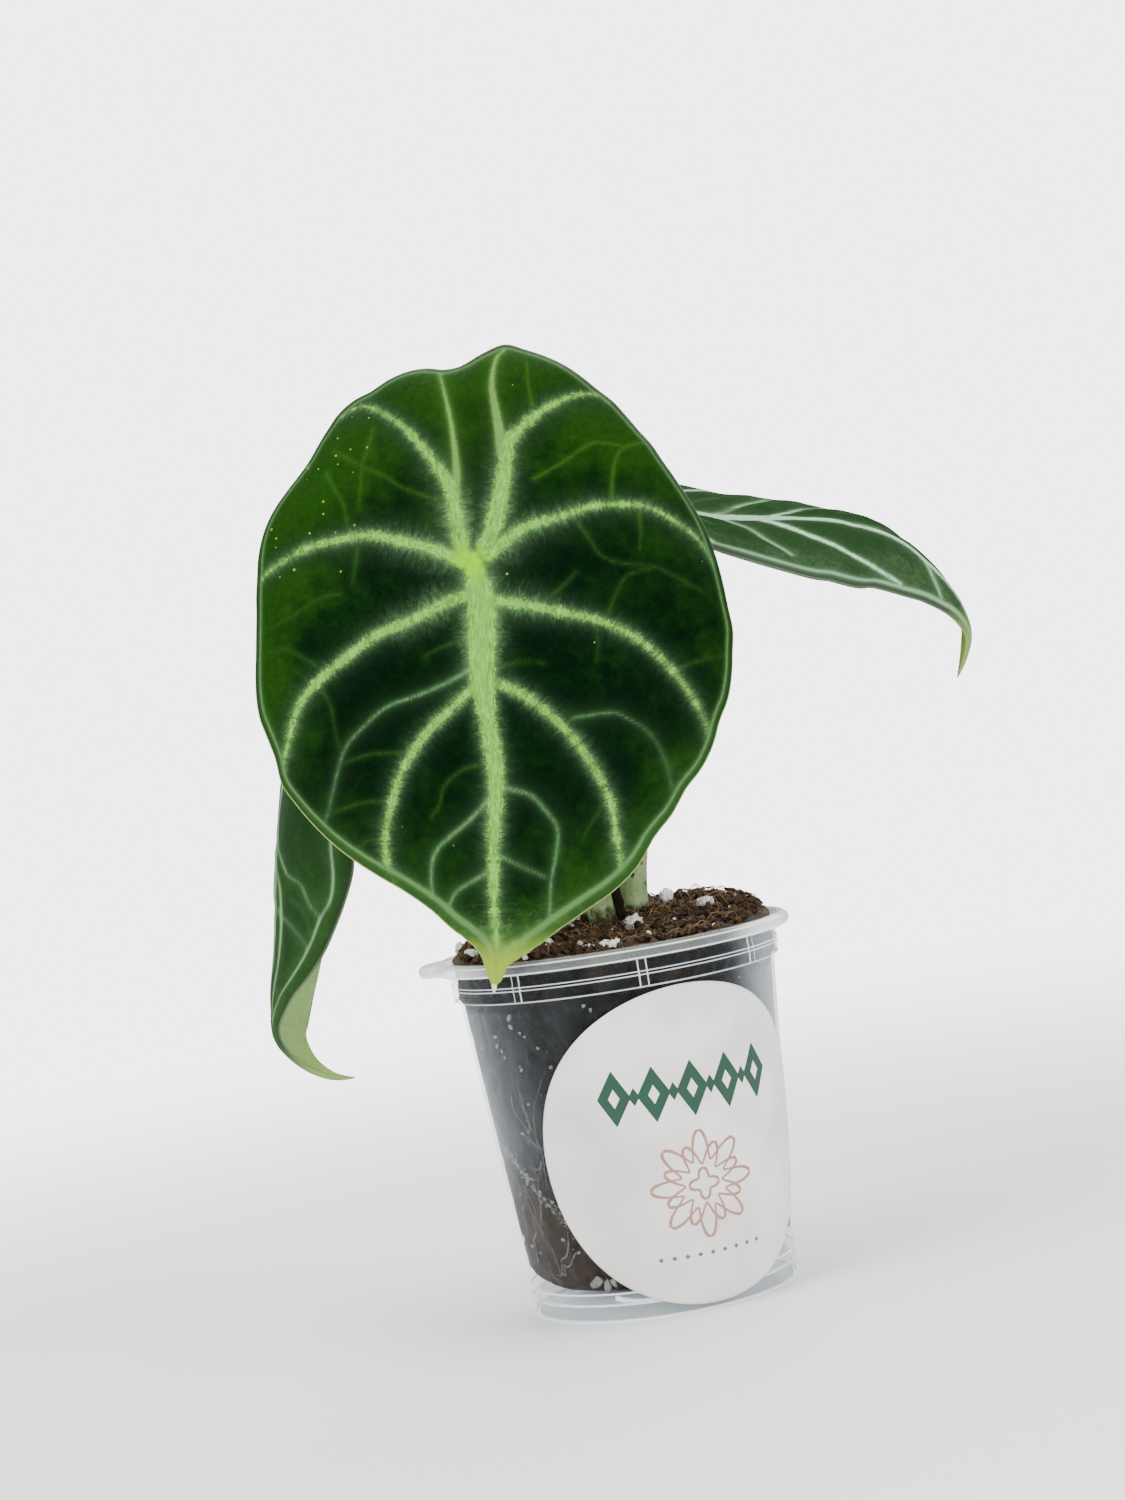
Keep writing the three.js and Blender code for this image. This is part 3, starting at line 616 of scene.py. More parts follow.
def scattered(centres, sizes, shape, rng, craggy):
    """Copies of a shape at the centres. Each one's corners move in and out by up to craggy of its size,
    it is stretched by its three sizes, and turned by a random unit quaternion, mostly about +Z."""
    corners, faces = shape
    count = len(centres)
    reach = 1 + craggy * rng.uniform(-1, 1, (count, len(corners), 1))
    body = corners[None] * reach * sizes[:, None]
    turn = rng.normal(size=(count, 4))
    turn[:, 1:3] *= 0.35
    turn = unit(turn)
    w, axis = turn[:, None, :1], turn[:, None, 1:]
    body = body + 2 * np.cross(axis, np.cross(axis, body) + w * body)
    offset = len(corners) * np.arange(count)[:, None, None]
    return (body + centres[:, None]).reshape(-1, 3), (faces[None] + offset).reshape(-1, 3)


def strewn(rng, count, reach):
    """Random places spread evenly over a disc round the pot's axis, at height 0."""
    radius = reach * np.sqrt(rng.uniform(0, 1, count))
    return around_pot(radius, rng.uniform(0, 360, count), 0.0)


def swept(paths, radii, sides):
    """Tubes along many paths at once (tube, place, 3), with a radius for each place. A ring's two
    directions are square to the path: across it and level, and square to both."""
    along = unit(np.gradient(paths, axis=1))
    level = unit(np.cross(along, np.array([0.13, 0.21, 0.97])))
    other = np.cross(along, level)
    turn = np.linspace(0, 2 * np.pi, sides, endpoint=False)[None, None, :, None]
    rings = paths[:, :, None] + radii[..., None, None] * (np.cos(turn) * level[:, :, None]
                                                         + np.sin(turn) * other[:, :, None])
    points, faces = [], [[], [], []]
    first = 0
    for tube in rings:
        tube_points, groups = closed_rings(tube)
        points.append(tube_points)
        for k, group in enumerate(groups):
            faces[k].append(group + first)
        first += len(tube_points)
    return np.concatenate(points), [np.concatenate(group) for group in faces]


def make_crumbs(finish):
    """Loose crumbs of coir, seeded: evenly spread over the heap, flat, and half sunk in it."""
    rng = np.random.default_rng(21)
    places = strewn(rng, crumb_count, crumb_field)
    size = 0.28 + 0.62 * rng.uniform(0, 1, crumb_count) ** 3
    places[:, 2] = soil_height(places[:, 0], places[:, 1]) + 0.35 * size
    sizes = size[:, None] * np.stack([rng.uniform(0.9, 2.5, crumb_count), np.ones(crumb_count),
                                      rng.uniform(0.5, 0.9, crumb_count)], 1)
    points, faces = scattered(places, sizes, twenty_faces(), rng, 0.34)
    piece = add_piece("coir_crumbs", points, [faces], finish)
    set_numbers(piece, "tint", np.repeat(rng.uniform(0, 1.1, crumb_count), len(points) // crumb_count))
    return piece


def make_fibres():
    """Coir fibres and fine root hairs lying on the heap, seeded: each is a bent line that follows the
    heap a little above it and dips in at its ends."""
    rng = np.random.default_rng(22)
    steps = np.linspace(-1, 1, 8)[None]
    middle = strewn(rng, fibre_count, fibre_field)
    heading = rng.uniform(0, 2 * np.pi, fibre_count)[:, None]
    half = (1.0 + 3.4 * rng.uniform(0, 1, fibre_count) ** 2)[:, None]
    bend = rng.uniform(-0.5, 0.5, fibre_count)[:, None] * half
    x = middle[:, :1] + half * steps * np.cos(heading) - bend * steps ** 2 * np.sin(heading)
    y = middle[:, 1:2] + half * steps * np.sin(heading) + bend * steps ** 2 * np.cos(heading)
    inside = np.minimum(1, fibre_limit / np.hypot(x, y))
    x, y = x * inside, y * inside
    z = soil_height(x, y) + 0.55 + 0.5 * (1 - steps ** 2) + 0.5 * rng.uniform(-1, 1, (fibre_count, 1))
    width = rng.uniform(0.05, 0.13, fibre_count)[:, None] * (1 - 0.6 * steps ** 2)
    points, faces = swept(np.stack([x, y, z], -1), width, 3)
    pale = coir("coir fibre", (0.07, 0.038, 0.018), (0.30, 0.19, 0.095), (0.42, 0.31, 0.18))
    piece = add_piece("coir_fibres", points, faces, pale)
    set_numbers(piece, "tint", np.repeat(rng.uniform(0, 1.2, fibre_count), len(points) // fibre_count))
    return piece


soil, coir_finish = make_soil()
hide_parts("soil")
for piece in (soil, make_crumbs(coir_finish), make_fibres()):
    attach(piece, "root")

# Perlite. Puffed volcanic glass, white and craggy, mixed through the coir: large grains where the heap
# shows them, and small specks scattered. Wet flecks are pressed against the inside of the wall, some of
# them as a slanting smear of dust.
perlite_places = [  # x, y and size
    (4, -6.5, 2.0), (0.4, -24.6, 1.1), (-1.5, -24, 0.9), (-4, -23.2, 0.8), (17, -1.5, 1.3), (11.3, 5.2, 1.3),
    (25, 4, 0.5), (-6, 0.5, 1.3), (-11, -11, 1.1), (-26.2, 2.6, 1.1), (-24, -7.5, 1.0), (4, 19, 1.6),
    (-14, 14, 1.4), (16, 15, 0.8), (-3, 12, 1.0),
]
perlite_speck_count = 130
perlite_field = 26.0
wall_flecks = [  # turn, height and size
    (-46, 53.0, 0.75), (-46.4, 51.6, 0.6), (-41.7, 50.3, 0.5), (-40, 49.8, 0.35), (-56.6, 48.2, 0.55),
    (-54.6, 47.4, 0.45), (-56.8, 49.9, 0.4), (-72, 53.3, 0.5), (-35.2, 47.7, 0.35), (-11.6, 53.0, 0.45),
    (-13.8, 53.9, 0.35), (-45.7, 38.2, 0.45), (-31.4, 44.2, 0.4), (-47.5, 36.5, 0.4), (-52.8, 46.4, 0.4),
    (-45.3, 44.1, 0.35), (-43.7, 14.6, 0.5), (-36.6, 12.3, 0.45), (-30, 7.2, 1.2), (-26, 6.4, 1.2),
    (-22.5, 6.8, 1.0), (-33, 6.6, 0.7),
]
wall_fleck_count = 320
smear_route = [(-74, 30), (-66, 28.2), (-59, 25.7), (-53.5, 23.2), (-47, 21), (-42, 18.6), (-36, 15.5)]
smear_spread = (1.3, 0.55)
smear_count = 420


def perlite_finish(name, white, pore):
    """Chalky, with darker pores and damp brown stains in its hollows."""
    finish, place = new_finish(name)
    pores = noise(place, 1500, 4, 0.6)
    stain = noise(place, 600, 3)
    colour = layered(white, (ramp(pores, 0.3, 0.48, 0.5, 0.0), pore),
                     (ramp(stain, 0.58, 0.7, 0.0, 0.55), (0.16, 0.10, 0.06)))
    return surfaced(finish, {"Base Color": colour, "Roughness": 0.8, "Normal": bump(pores, 0.0006, 0.9)})


def make_perlite(finish):
    """Large grains at their places and small specks scattered by seed, a little above the heap. Crags
    push each corner out or in by three sizes of random grain."""
    rng = np.random.default_rng(31)
    specks = strewn(rng, perlite_speck_count, perlite_field)
    specks[:, 2] = rng.uniform(0.2, 0.55, perlite_speck_count)
    places = np.concatenate([np.array(perlite_places, float), specks])
    size = places[:, 2].copy()
    places[:, 2] = soil_height(places[:, 0], places[:, 1]) + 0.35 * size + 0.15
    sizes = size[:, None] * np.array([1.15, 1, 0.8])
    coarse = finer(*twenty_faces())
    large = len(perlite_places)
    all_points, all_faces = [], []
    for group, shape in ((slice(0, large), finer(*finer(*coarse))), (slice(large, None), coarse)):
        middles = places[group]
        points, faces = scattered(middles, sizes[group], shape, rng, 0.04)
        from_middle = points - np.repeat(middles, len(points) // len(middles), 0)
        crags = 0.34 * grain(points, 0.8, 32) + 0.22 * grain(points, 0.4, 34) + 0.12 * grain(points, 0.2, 35)
        all_faces.append(faces + sum(len(made) for made in all_points))
        all_points.append(points + crags[:, None] * from_middle)
    return add_piece("perlite", np.concatenate(all_points), [np.concatenate(all_faces)], finish)


def bridged(a, b, c, d, w):
    """Value at part w of the way from b to c, of the values a, b, c and d in a row: a cubic whose slopes
    at its ends are half of c - a and half of d - b."""
    rise, fall = (c - a) / 2, (d - b) / 2
    return b + rise * w + (3 * (c - b) - 2 * rise - fall) * w ** 2 + (2 * (b - c) + rise + fall) * w ** 3


def smooth_curve(values, places):
    """Values bridged smoothly at places from 0 to 1 along a row of evenly spaced values."""
    values = np.asarray(values, float)
    last = len(values) - 1
    i = np.minimum((places * last).astype(int), last - 1)
    w = places * last - i
    if values.ndim > 1:
        w = w[..., None]
    return bridged(*(values[np.clip(i + k, 0, last)] for k in (-1, 0, 1, 2)), w)


def make_wall_flecks(finish):
    """Wet flecks pressed flat inside the wall: those of the list as turn, height and size, others seeded
    all round, and a smear of dust that spreads evenly at random about its slanting route."""
    rng = np.random.default_rng(33)
    seeded = np.stack([rng.uniform(0, 360, wall_fleck_count), rng.uniform(10, 54, wall_fleck_count),
                       0.06 + 0.34 * rng.uniform(0, 1, wall_fleck_count) ** 5], 1)
    dust = smooth_curve(smear_route, rng.uniform(0, 1, smear_count))
    dust = dust + rng.normal(size=(smear_count, 2)) * smear_spread
    dust = np.column_stack([dust, 0.05 + 0.22 * rng.uniform(0, 1, smear_count) ** 2])
    turn, z, size = np.concatenate([wall_flecks, seeded, dust]).T
    places = around_pot(wall_radius(z) - pot_wall - 0.12 - 0.4 * size, turn, z)
    lengths = rng.uniform(0.6, 1.3, len(z))
    sizes = size[:, None] * np.stack([lengths, np.full(len(z), 0.8), np.ones(len(z))], 1)
    points, faces = scattered(places, sizes, twenty_faces(), rng, 0.35)
    far = np.hypot(points[:, 0], points[:, 1]) / (wall_radius(points[:, 2]) - pot_wall - 0.05)
    points[:, :2] /= np.maximum(far, 1)[:, None]
    return add_piece("perlite_flecks", points, [faces], finish)


white = perlite_finish("perlite", (0.86, 0.86, 0.84), (0.30, 0.27, 0.24))
wet_white = perlite_finish("wet perlite", (0.20, 0.205, 0.19), (0.07, 0.065, 0.06))
for piece in (make_perlite(white), make_wall_flecks(wet_white)):
    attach(piece, "root")

# Roots. A short stem sits in the soil with its thick roots, out of sight. Thin pale roots have
# reached the wall, and run down and round it just inside the plastic, with finer side roots.
root_routes = [  # turn and height along each root
    [(-52, 21.5), (-54.5, 18.5), (-55.5, 15), (-53, 12.5)],
    [(-40, 16), (-43, 12.5), (-47, 10), (-52, 8.2)],
    [(-38, 12), (-43, 10.5), (-46, 9.5), (-48.5, 8.4)],
    [(-57, 18), (-62, 15.5), (-65, 13), (-67.5, 10)],
    [(-54.8, 33), (-51, 32), (-47.5, 31.2), (-43, 30.5)],
    [(-49.3, 35.2), (-48.7, 34), (-49.4, 32.8), (-51, 32.2)],
    [(-45.8, 28.2), (-48, 27.4), (-50.5, 26.4), (-52.3, 25)],
    [(-62.5, 32.5), (-61, 31.5), (-61.5, 30), (-60.5, 28.5)],
]
root_copies = (0, 68, 131, 190, 246, 305)
side_root_count = 120


def root_finish(name, dark, light):
    """Root skin in two tones by patch, with a fine grain."""
    finish, place = new_finish(name)
    patches = noise(place, 500, 4, 0.6)
    colour = mixed(ramp(patches, 0.35, 0.65), dark, light)
    return surfaced(finish, {"Base Color": colour, "Roughness": 0.6, "Normal": bump(patches, 0.0002, 0.6)})


def make_wall_roots(finish):
    """Roots by route on the inside of the wall, copied all round the pot, and side roots by seed: a wave
    round a falling line."""
    rng = np.random.default_rng(41)
    part = np.linspace(0, 1, 26)
    routes, widths = [], []
    for spin in root_copies:
        for route in root_routes:
            turn, height = smooth_curve(route, part).T
            turn = turn + spin + 1.1 * np.sin(9 * part + spin) + (spin > 0) * rng.uniform(-9, 9)
            routes.append((turn, height + 0.5 * np.sin(13 * part + 2 * spin)))
            widths.append(0.17 - 0.08 * part)
    for _ in range(side_root_count):
        start, drop = rng.uniform(0, 360), rng.uniform(4, 15)
        low = rng.uniform(floor_height + 2, 42)
        swing = rng.uniform(-16, 16)
        routes.append((start + swing * part + 1.5 * np.sin(6 * part + start), low + drop * (1 - part)))
        widths.append(0.07 - 0.03 * part)
    turn, height = (np.array([route[k] for route in routes]) for k in (0, 1))
    width = np.array(widths)
    paths = around_pot(wall_radius(height) - pot_wall - 0.06 - width, turn, height)
    points, faces = swept(paths, width, 6)
    return add_piece("wall_roots", points, faces, finish)


straw = root_finish("root", (0.30, 0.25, 0.18), (0.66, 0.62, 0.52))
wall_roots = make_wall_roots(root_finish("wet root", (0.05, 0.044, 0.036), (0.14, 0.125, 0.105)))
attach(wall_roots, "root")
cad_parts["rooted_stem"].data.materials.clear()
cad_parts["rooted_stem"].data.materials.append(straw)

# Blades. Thick, leathery shield-shaped leaves, joined to the stalk inside their edge. The blade is
# quilted between sunken veins, which are pale, feathered at their edges and stand out as ribs below.
blade_thickness = 0.55
rib_height = 1.0
quilt_spread = 4.0
outline_places = 2400
edge_reach = 9.95


def curve_places(points, count=2400):
    """Places along a smooth curve through the points, and their distance along it. Past its ends the
    curve goes on as if mirrored there."""
    points = np.asarray(points, float)
    last = len(points) - 1
    spread = np.concatenate([2 * points[:1] - points[1:2], points, 2 * points[-1:] - points[-2:-1]])
    t = np.linspace(0, last, count + 1)
    i = np.minimum(t.astype(int), last - 1)
    places = bridged(*(spread[i + k] for k in range(4)), (t - i)[:, None])
    steps = np.linalg.norm(np.diff(places, axis=0), axis=1)
    return places, np.concatenate([[0], np.cumsum(steps)])


def along_curve(run, distance, rows):
    """Rows of three numbers, given at the distances in run, read off at other distances along it."""
    return np.stack([np.interp(distance, run, rows[:, k]) for k in range(3)], -1)


def outline_radius(leaf, angle):
    """Distance from the joint to the leaf's edge at an angle from the tip: a smooth closed curve
    through the radii, and the drip tip's reach beyond it from a table of degrees off."""
    radii = np.asarray(leaf["radii"], float)
    count = len(radii)
    place = (angle / (2 * np.pi) * count) % count
    i = np.floor(place).astype(int)
    smooth = bridged(*(radii[(i + k) % count] for k in (-1, 0, 1, 2)), place - i)
    off = np.degrees((angle + np.pi) % (2 * np.pi) - np.pi)
    return smooth + np.interp(off, *np.transpose(leaf["tip"]))


def bent_blade(leaf, p, q, raised):
    """Points of the bent blade over flat places p towards the tip and q to the right of the joint. The
    midrib is a curve in space; each half leans back from it by fold, and curl more for each mm out."""
    places, run = curve_places(leaf["axis"])
    length = run[-1]
    joint = run[round((len(run) - 1) / (len(leaf["axis"]) - 1))]
    part = np.clip((joint + p) / length, 0, 1)
    along = along_curve(run, part * length, unit(np.gradient(places, axis=0)))
    middle = along_curve(run, part * length, places) + along * (joint + p - part * length)[..., None]
    across = smooth_curve(leaf["across"], part)
    across = unit(across - (across * along).sum(-1, keepdims=True) * along)
    up = np.cross(along, across)
    fold = np.radians(smooth_curve(leaf["fold"], part))
    curl = np.radians(smooth_curve(leaf["curl"], part))
    lean = fold + curl * np.abs(q)
    out = (np.sin(lean) - np.sin(fold)) / curl + np.sin(lean) * raised
    back = (np.cos(fold) - np.cos(lean)) / curl - np.cos(lean) * raised
    return middle + across * (np.sign(q) * out)[..., None] - up * back[..., None]


def vein_distances(leaf, p, q):
    """For the strong, thin and faint veins, the distance to the nearest one's edge, less than 0 inside
    it, and for the strong ones also the distance along it. Each vein is a smooth curve of short steps,
    with its half width blended along it."""
    found = {}
    for kind, veins in leaf["veins"].items():
        nearest = np.full(p.shape, 99.0)
        along = np.zeros(p.shape)
        for k, (half_widths, *points) in enumerate(veins):
            places, run = curve_places(points, 12 * (len(points) - 1))
            half = np.interp(run / run[-1], np.linspace(0, 1, len(half_widths)), half_widths)
            for i in range(len(places) - 1):
                step = places[i + 1] - places[i]
                close = np.hypot(p - places[i, 0], q - places[i, 1]) < np.abs(nearest) + 4
                dp, dq = p[close] - places[i, 0], q[close] - places[i, 1]
                t = np.clip((dp * step[0] + dq * step[1]) / (step @ step), 0, 1)
                gap = np.hypot(dp - t * step[0], dq - t * step[1]) - (half[i] + t * (half[i + 1] - half[i]))
                better = gap < nearest[close]
                index = np.flatnonzero(close)[better]
                nearest[index] = gap[better]
                along[index] = 40 * k + run[i] + t[better] * (run[i + 1] - run[i])
        found[kind] = nearest
        found[kind + " run"] = along
    return found


def gathered(angle):
    """Angles from the tip, drawn towards the tip and the notch, where the outline bends most."""
    return angle - 0.3 * np.sin(2 * angle)


def edge_distance(leaf, p, q):
    """Distance in from the leaf's edge, to the nearest of many places of its outline. It stops growing
    at edge_reach."""
    angle = gathered(np.linspace(0, 2 * np.pi, outline_places, endpoint=False))
    reach = outline_radius(leaf, angle)
    nearest = np.full(p.shape, edge_reach ** 2)
    for edge_p, edge_q in zip(reach * np.cos(angle), reach * np.sin(angle)):
        np.minimum(nearest, (p - edge_p) ** 2 + (q - edge_q) ** 2, out=nearest)
    return np.sqrt(nearest)


def flat_grid(leaf, cells):
    """Flat places of a grid over the leaf: a square's rings become circles round the joint, stretched
    to the outline, and its spokes gather towards the tip and the notch."""
    side = np.linspace(-1, 1, cells + 1)
    u, v = (a.ravel() for a in np.meshgrid(side, side, indexing="ij"))
    ring = np.maximum(np.abs(u), np.abs(v))
    safe = np.where(ring == 0, 1, ring)
    quarter = np.pi / 4
    angle = np.where(u < 0, 4 * quarter - quarter * v / safe, quarter * v / safe)
    upright = np.abs(u) < np.abs(v)
    angle = np.where(upright, np.sign(v) * (2 * quarter - quarter * u / safe), angle)
    angle = gathered(angle)
    reach = ring ** 0.85 * outline_radius(leaf, angle)
    return reach * np.cos(angle), reach * np.sin(angle), ring


def make_blade(name, leaf, upper_finish, under_finish):
    """Two faces over one grid, closed round their edge. The upper face is puffed between the veins and
    grooved along them; the under face also has the ribs, as half-round ridges."""
    cells = leaf["cells"]
    p, q, ring = flat_grid(leaf, cells)
    veins = vein_distances(leaf, p, q)
    strong, thin, faint = veins["strong"], veins["thin"], veins["faint"]
    edge = edge_distance(leaf, p, q)
    inside = 1 - ring ** 8
    to_rib = np.maximum(np.minimum(strong, thin + 0.6) + 0.6, 0)
    puff = leaf["quilt"] * (1 - np.exp(-(to_rib / quilt_spread) ** 2)) * inside
    puff = puff + 0.16 * inside * np.minimum(1, np.maximum(thin, 0) / 1.4)
    puff = puff + 0.07 * inside * np.minimum(1, np.maximum(faint, 0) / 1.0)
    centre = np.stack([p, q, 0 * p], -1)
    puff = puff + inside * (0.10 * grain(centre, 5.0, 51) + 0.05 * grain(centre, 1.8, 52))
    lift = puff - leaf["edge_roll"] * ring ** 16
    half = blade_thickness / 2 * (0.35 + 0.65 * np.sqrt(1 - ring ** 20))
    ridge = np.sqrt(np.clip(1 - (np.maximum(strong + 1.2, 0) / 1.3) ** 2, 0, 1))
    small_ridge = np.sqrt(np.clip(1 - (np.maximum(thin + 0.4, 0) / 0.5) ** 2, 0, 1))
    ribs = rib_height * np.maximum(ridge, 0.4 * small_ridge) * np.minimum(1, edge / 3)
    upper = bent_blade(leaf, p, q, lift + half)
    under = bent_blade(leaf, p, q, lift - half - ribs)
    row = cells + 1
    top = grid_faces(row, row, False)
    low = top[:, ::-1] + row * row
    k = np.arange(cells)
    loop = np.concatenate([k, k * row + cells, row * row - 1 - k, (cells - k) * row])
    beside = np.roll(loop, -1)
    rim = np.stack([loop, beside, beside + row * row, loop + row * row], 1)
    piece = add_piece(name, np.concatenate([upper, under]), [top, low, rim[:, ::-1]], upper_finish)
    piece.data.materials.append(under_finish)
    which = np.concatenate([np.zeros(len(top)), np.ones(len(low)), np.zeros(len(rim))]).astype(np.int32)
    piece.data.polygons.foreach_set("material_index", which)
    both = lambda values: np.concatenate([values, values])
    for key, values in (("strong", strong), ("run", veins["strong run"]), ("thin", thin),
                        ("faint", faint), ("edge", edge)):
        set_numbers(piece, key, both(values))
    lay_flat(piece, both(q), both(p))
    return piece


def net(place, scale):
    """Distance from the edges of a net of random cells."""
    sockets = {"Vector": place, "Scale": scale}
    return node(place.tree, "TexVoronoi", sockets, feature="DISTANCE_TO_EDGE")


def fading(distance, reach):
    """1 at distance 0 and less, then falling as a power of e: to a third at each reach further out."""
    return maths("EXPONENT", -maths("MAXIMUM", distance, 0.0) / reach)


def upper_leaf(name, tones):
    """Upper face. The ground is nearly black by the midrib and greener to the top and the edges, where it is
    painted lighter as light shining through the blade; it is also clouded and leathery. A vein fades with the
    distance from its edge, a distance that random hairs across a strong vein stretch and shrink; threads run
    along it, and beside it wisps of hair and a painted sheen, strongest near the joint, make a haze. A green
    strip and a pale vein run inside the margin, the tip is yellow, the joint bright, and a few specks pale."""
    finish, place = new_finish(name)
    tree = place.tree
    flat = flat_place(finish)
    q, p = (coordinate(flat, k) * flat_unit for k in (0, 1))
    strong, thin, faint = (number(finish, key) for key in ("strong", "thin", "faint"))
    edge, run = (number(finish, key) for key in ("edge", "run"))
    joint_places = {0: flat, 1: (-0.008, -0.002, 0.0)}
    from_joint = node(tree, "VectorMath", joint_places, "Value", operation="DISTANCE") * flat_unit

    cloud = noise(place, 60, 3)
    fine = noise(place, 900, 4, 0.6)
    leather = noise(place, 1300, 5, 0.6)
    # Painted light: light makes the ground greener towards the top, the left, the tip and the edges, as light
    # shining through the blade, and random clouds vary it.
    light = ramp(p, 8.0, -32.0) * 0.8 + ramp(edge, 16.0, 1.0, 0.0, 0.42) + ramp(p, 36.0, 58.0, 0.0, 0.45)
    light = light + ramp(q, -12.0, -34.0, 0.0, 0.65) * ramp(p, 40.0, 8.0)
    light = light + ramp(q, 8.0, 26.0, 0.0, 0.14) + ramp(q, -20.0, -36.0, 0.0, 0.2)
    light = light + (cloud - 0.5) * 1.3 + (noise(place, 280, 4, 0.6) - 0.5) * 1.2
    ground = layered(
        mixed(ramp(light, 0.1, 0.7), tones["deep"], tones["middle"]),
        (ramp(light, 0.45, 1.15), tones["bright"]),
        (ramp(fine, 0.3, 0.7, 0.0, 0.3), tones["deep"]),
        (ramp(leather, 0.4, 0.6, 0.0, tones["mottle"]), tones["deep"]),
        (fading(strong, 2.2) * 0.7, tones["shade"]))

    ragged = tones["ragged"]
    wobble = (noise(place, 1500, 3, 0.6) - 0.5) * (0.55 * ragged)
    thin_vein = fading(thin, 1.2) * 0.10 + fading(thin + wobble + 0.3 * ragged, tones["thin fade"]) * 0.90
    faint_vein = fading(faint + wobble + 0.1, 0.32) * 0.68
    small_veins = layered(
        ground,
        (thin_vein, mixed(ramp(p, -4.0, -18.0), tones["thin vein"], tones["top vein"])),
        (faint_vein, mixed(ramp(p, -2.0, -12.0), tones["faint vein"], tones["top faint"])),
        (ramp(net(place, 360.0), 0.08, 0.0, 0.0, 0.05), tones["faint vein"]))

    def vein_place(along, across, third=0.0):
        """Place for noise drawn out along a strong vein or across it."""
        return node(tree, "CombineXYZ", {0: run * along, 1: strong * across, 2: third})

    hairs = noise(vein_place(1.0, 0.5), 1.9, 5, 0.7, 1.4) - 0.5
    tufts = noise(vein_place(1.0, 0.5), 0.45, 3) - 0.5
    vein = fading(strong + (tufts * 1.4 + hairs * 2.7 + 0.5) * ragged, tones["fade"])
    near_joint = ramp(from_joint, 26.0, 5.0)
    wisps = ramp(noise(vein_place(1.0, 0.35), 1.2, 5, 0.7, 1.2), 0.44, 0.64)
    # The smooth part of this haze, strongest near the joint, is painted sheen; the wisps are hairs.
    haze = fading(strong, near_joint * 0.75 + 0.85) * (near_joint * 0.9 + 1.0)
    haze = haze * (wisps * tones["wisps"] + tones["haze"])
    threads = noise(vein_place(0.3, 1.3, q * 0.7), 1.8, 4, 0.7, 0.4)
    body = layered(
        mixed(ramp(threads, 0.34, 0.54), tones["vein"], tones["vein light"]),
        (ramp(threads, 0.53, 0.64, 0.0, 0.65), tones["vein thread"]),
        (ramp(strong, -1.1, -2.2, 0.0, 0.5), tones["vein light"]),
        (ramp(vein, 0.7, 0.15, 0.0, 0.75), tones["fringe"]))

    towards_tip = ramp(p, 10.0, 56.0)
    past_line = edge - ramp(p, 34.0, 62.0, *tones["margin"])
    off_line = wobble * 0.5 + abs(past_line) - ramp(p, 42.0, 62.0, *tones["margin half"])
    margin_vein = fading(off_line, tones["margin fade"]) * ramp(p, -30.0, 50.0, *tones["margin strength"])
    strip_tone = mixed(towards_tip, tones["strip"], tones["low strip"])
    yellowing = fine * 3.0 + p + ramp(edge, 3.0, 0.5, 0.0, 0.5)
    ends = layered(
        small_veins,
        (haze, tones["fringe"]),
        (vein, body),
        (fading(past_line, 1.6) * (towards_tip * tones["margin glow"]), tones["fringe"]),
        (ramp(past_line, 0.0, -0.5, 0.0, 0.85), strip_tone),
        (margin_vein, tones["margin vein"]),
        (ramp(edge, 0.3, 0.1) * ramp(p, -15.0, 35.0, 0.15, 0.95), tones["edge line"]),
        (ramp(wisps * 3.0 + p, 59.0, 69.0, 0.0, tones["pale end"]), tones["end colour"]),
        (ramp(yellowing, *tones["tip"], 0.0, 0.92), tones["tip colour"]),
        (ramp(p, 71.0, 71.6, 0.0, tones["bristle"]), (0.80, 0.76, 0.46)),
        (ramp(from_joint, 4.8, 0.8, 0.0, tones["joint"]) * vein, (0.215, 0.53, 0.0)))

    dots = node(tree, "TexVoronoi", {"Vector": flat, "Scale": 36.0}, voronoi_dimensions="2D")
    chance = node(tree, "SeparateColor", {0: dots.output("Color")})
    often = ramp(q, -8.0, -24.0) * ramp(p, 4.0, -14.0, 0.0, 0.36) * ramp(cloud, 0.42, 0.56, 0.4, 1.6)
    specks = ramp(dots / (chance.output(1) * 0.08 + 0.04), 1.0, 0.5) * ramp(often + chance, 0.985, 0.99)
    return surfaced(finish, {
        "Base Color": mixed(specks * tones["specks"], ends, (0.17, 0.32, 0.05)),
        "Roughness": ramp(fine, 0.25, 0.75, 0.36, 0.5) + vein * 0.15,
        "Normal": bump(threads * vein, 0.0005, 0.5, bump(leather, 0.00015, 0.35)),
        "Specular IOR Level": tones["gloss"],
    })


def under_leaf(name, field, vein, tip_colour):
    """Under face: pale matte green with a fine net, lighter raised ribs and a yellowish tip."""
    finish, place = new_finish(name)
    p = coordinate(flat_place(finish), 1) * flat_unit
    fine_net = net(place, 420.0)
    rib = ramp(maths("MINIMUM", number(finish, "strong"), number(finish, "thin") + 0.1), 0.5, -0.3)
    colour = layered(
        mixed(ramp(noise(place, 120, 4), 0.3, 0.7), tuple(0.72 * part for part in field), field),
        (ramp(fine_net, 0.08, 0.0, 0.0, 0.35), vein),
        (rib * 0.8, vein),
        (ramp(p, 48.0, 70.0, 0.0, 0.8), tip_colour))
    return surfaced(finish, {
        "Base Color": colour,
        "Roughness": 0.55,
        "Normal": bump(fine_net, 0.0002, 0.3, bump(noise(place, 1100, 4, 0.6), 0.0002, 0.5)),
        "Specular IOR Level": 0.1,
    })


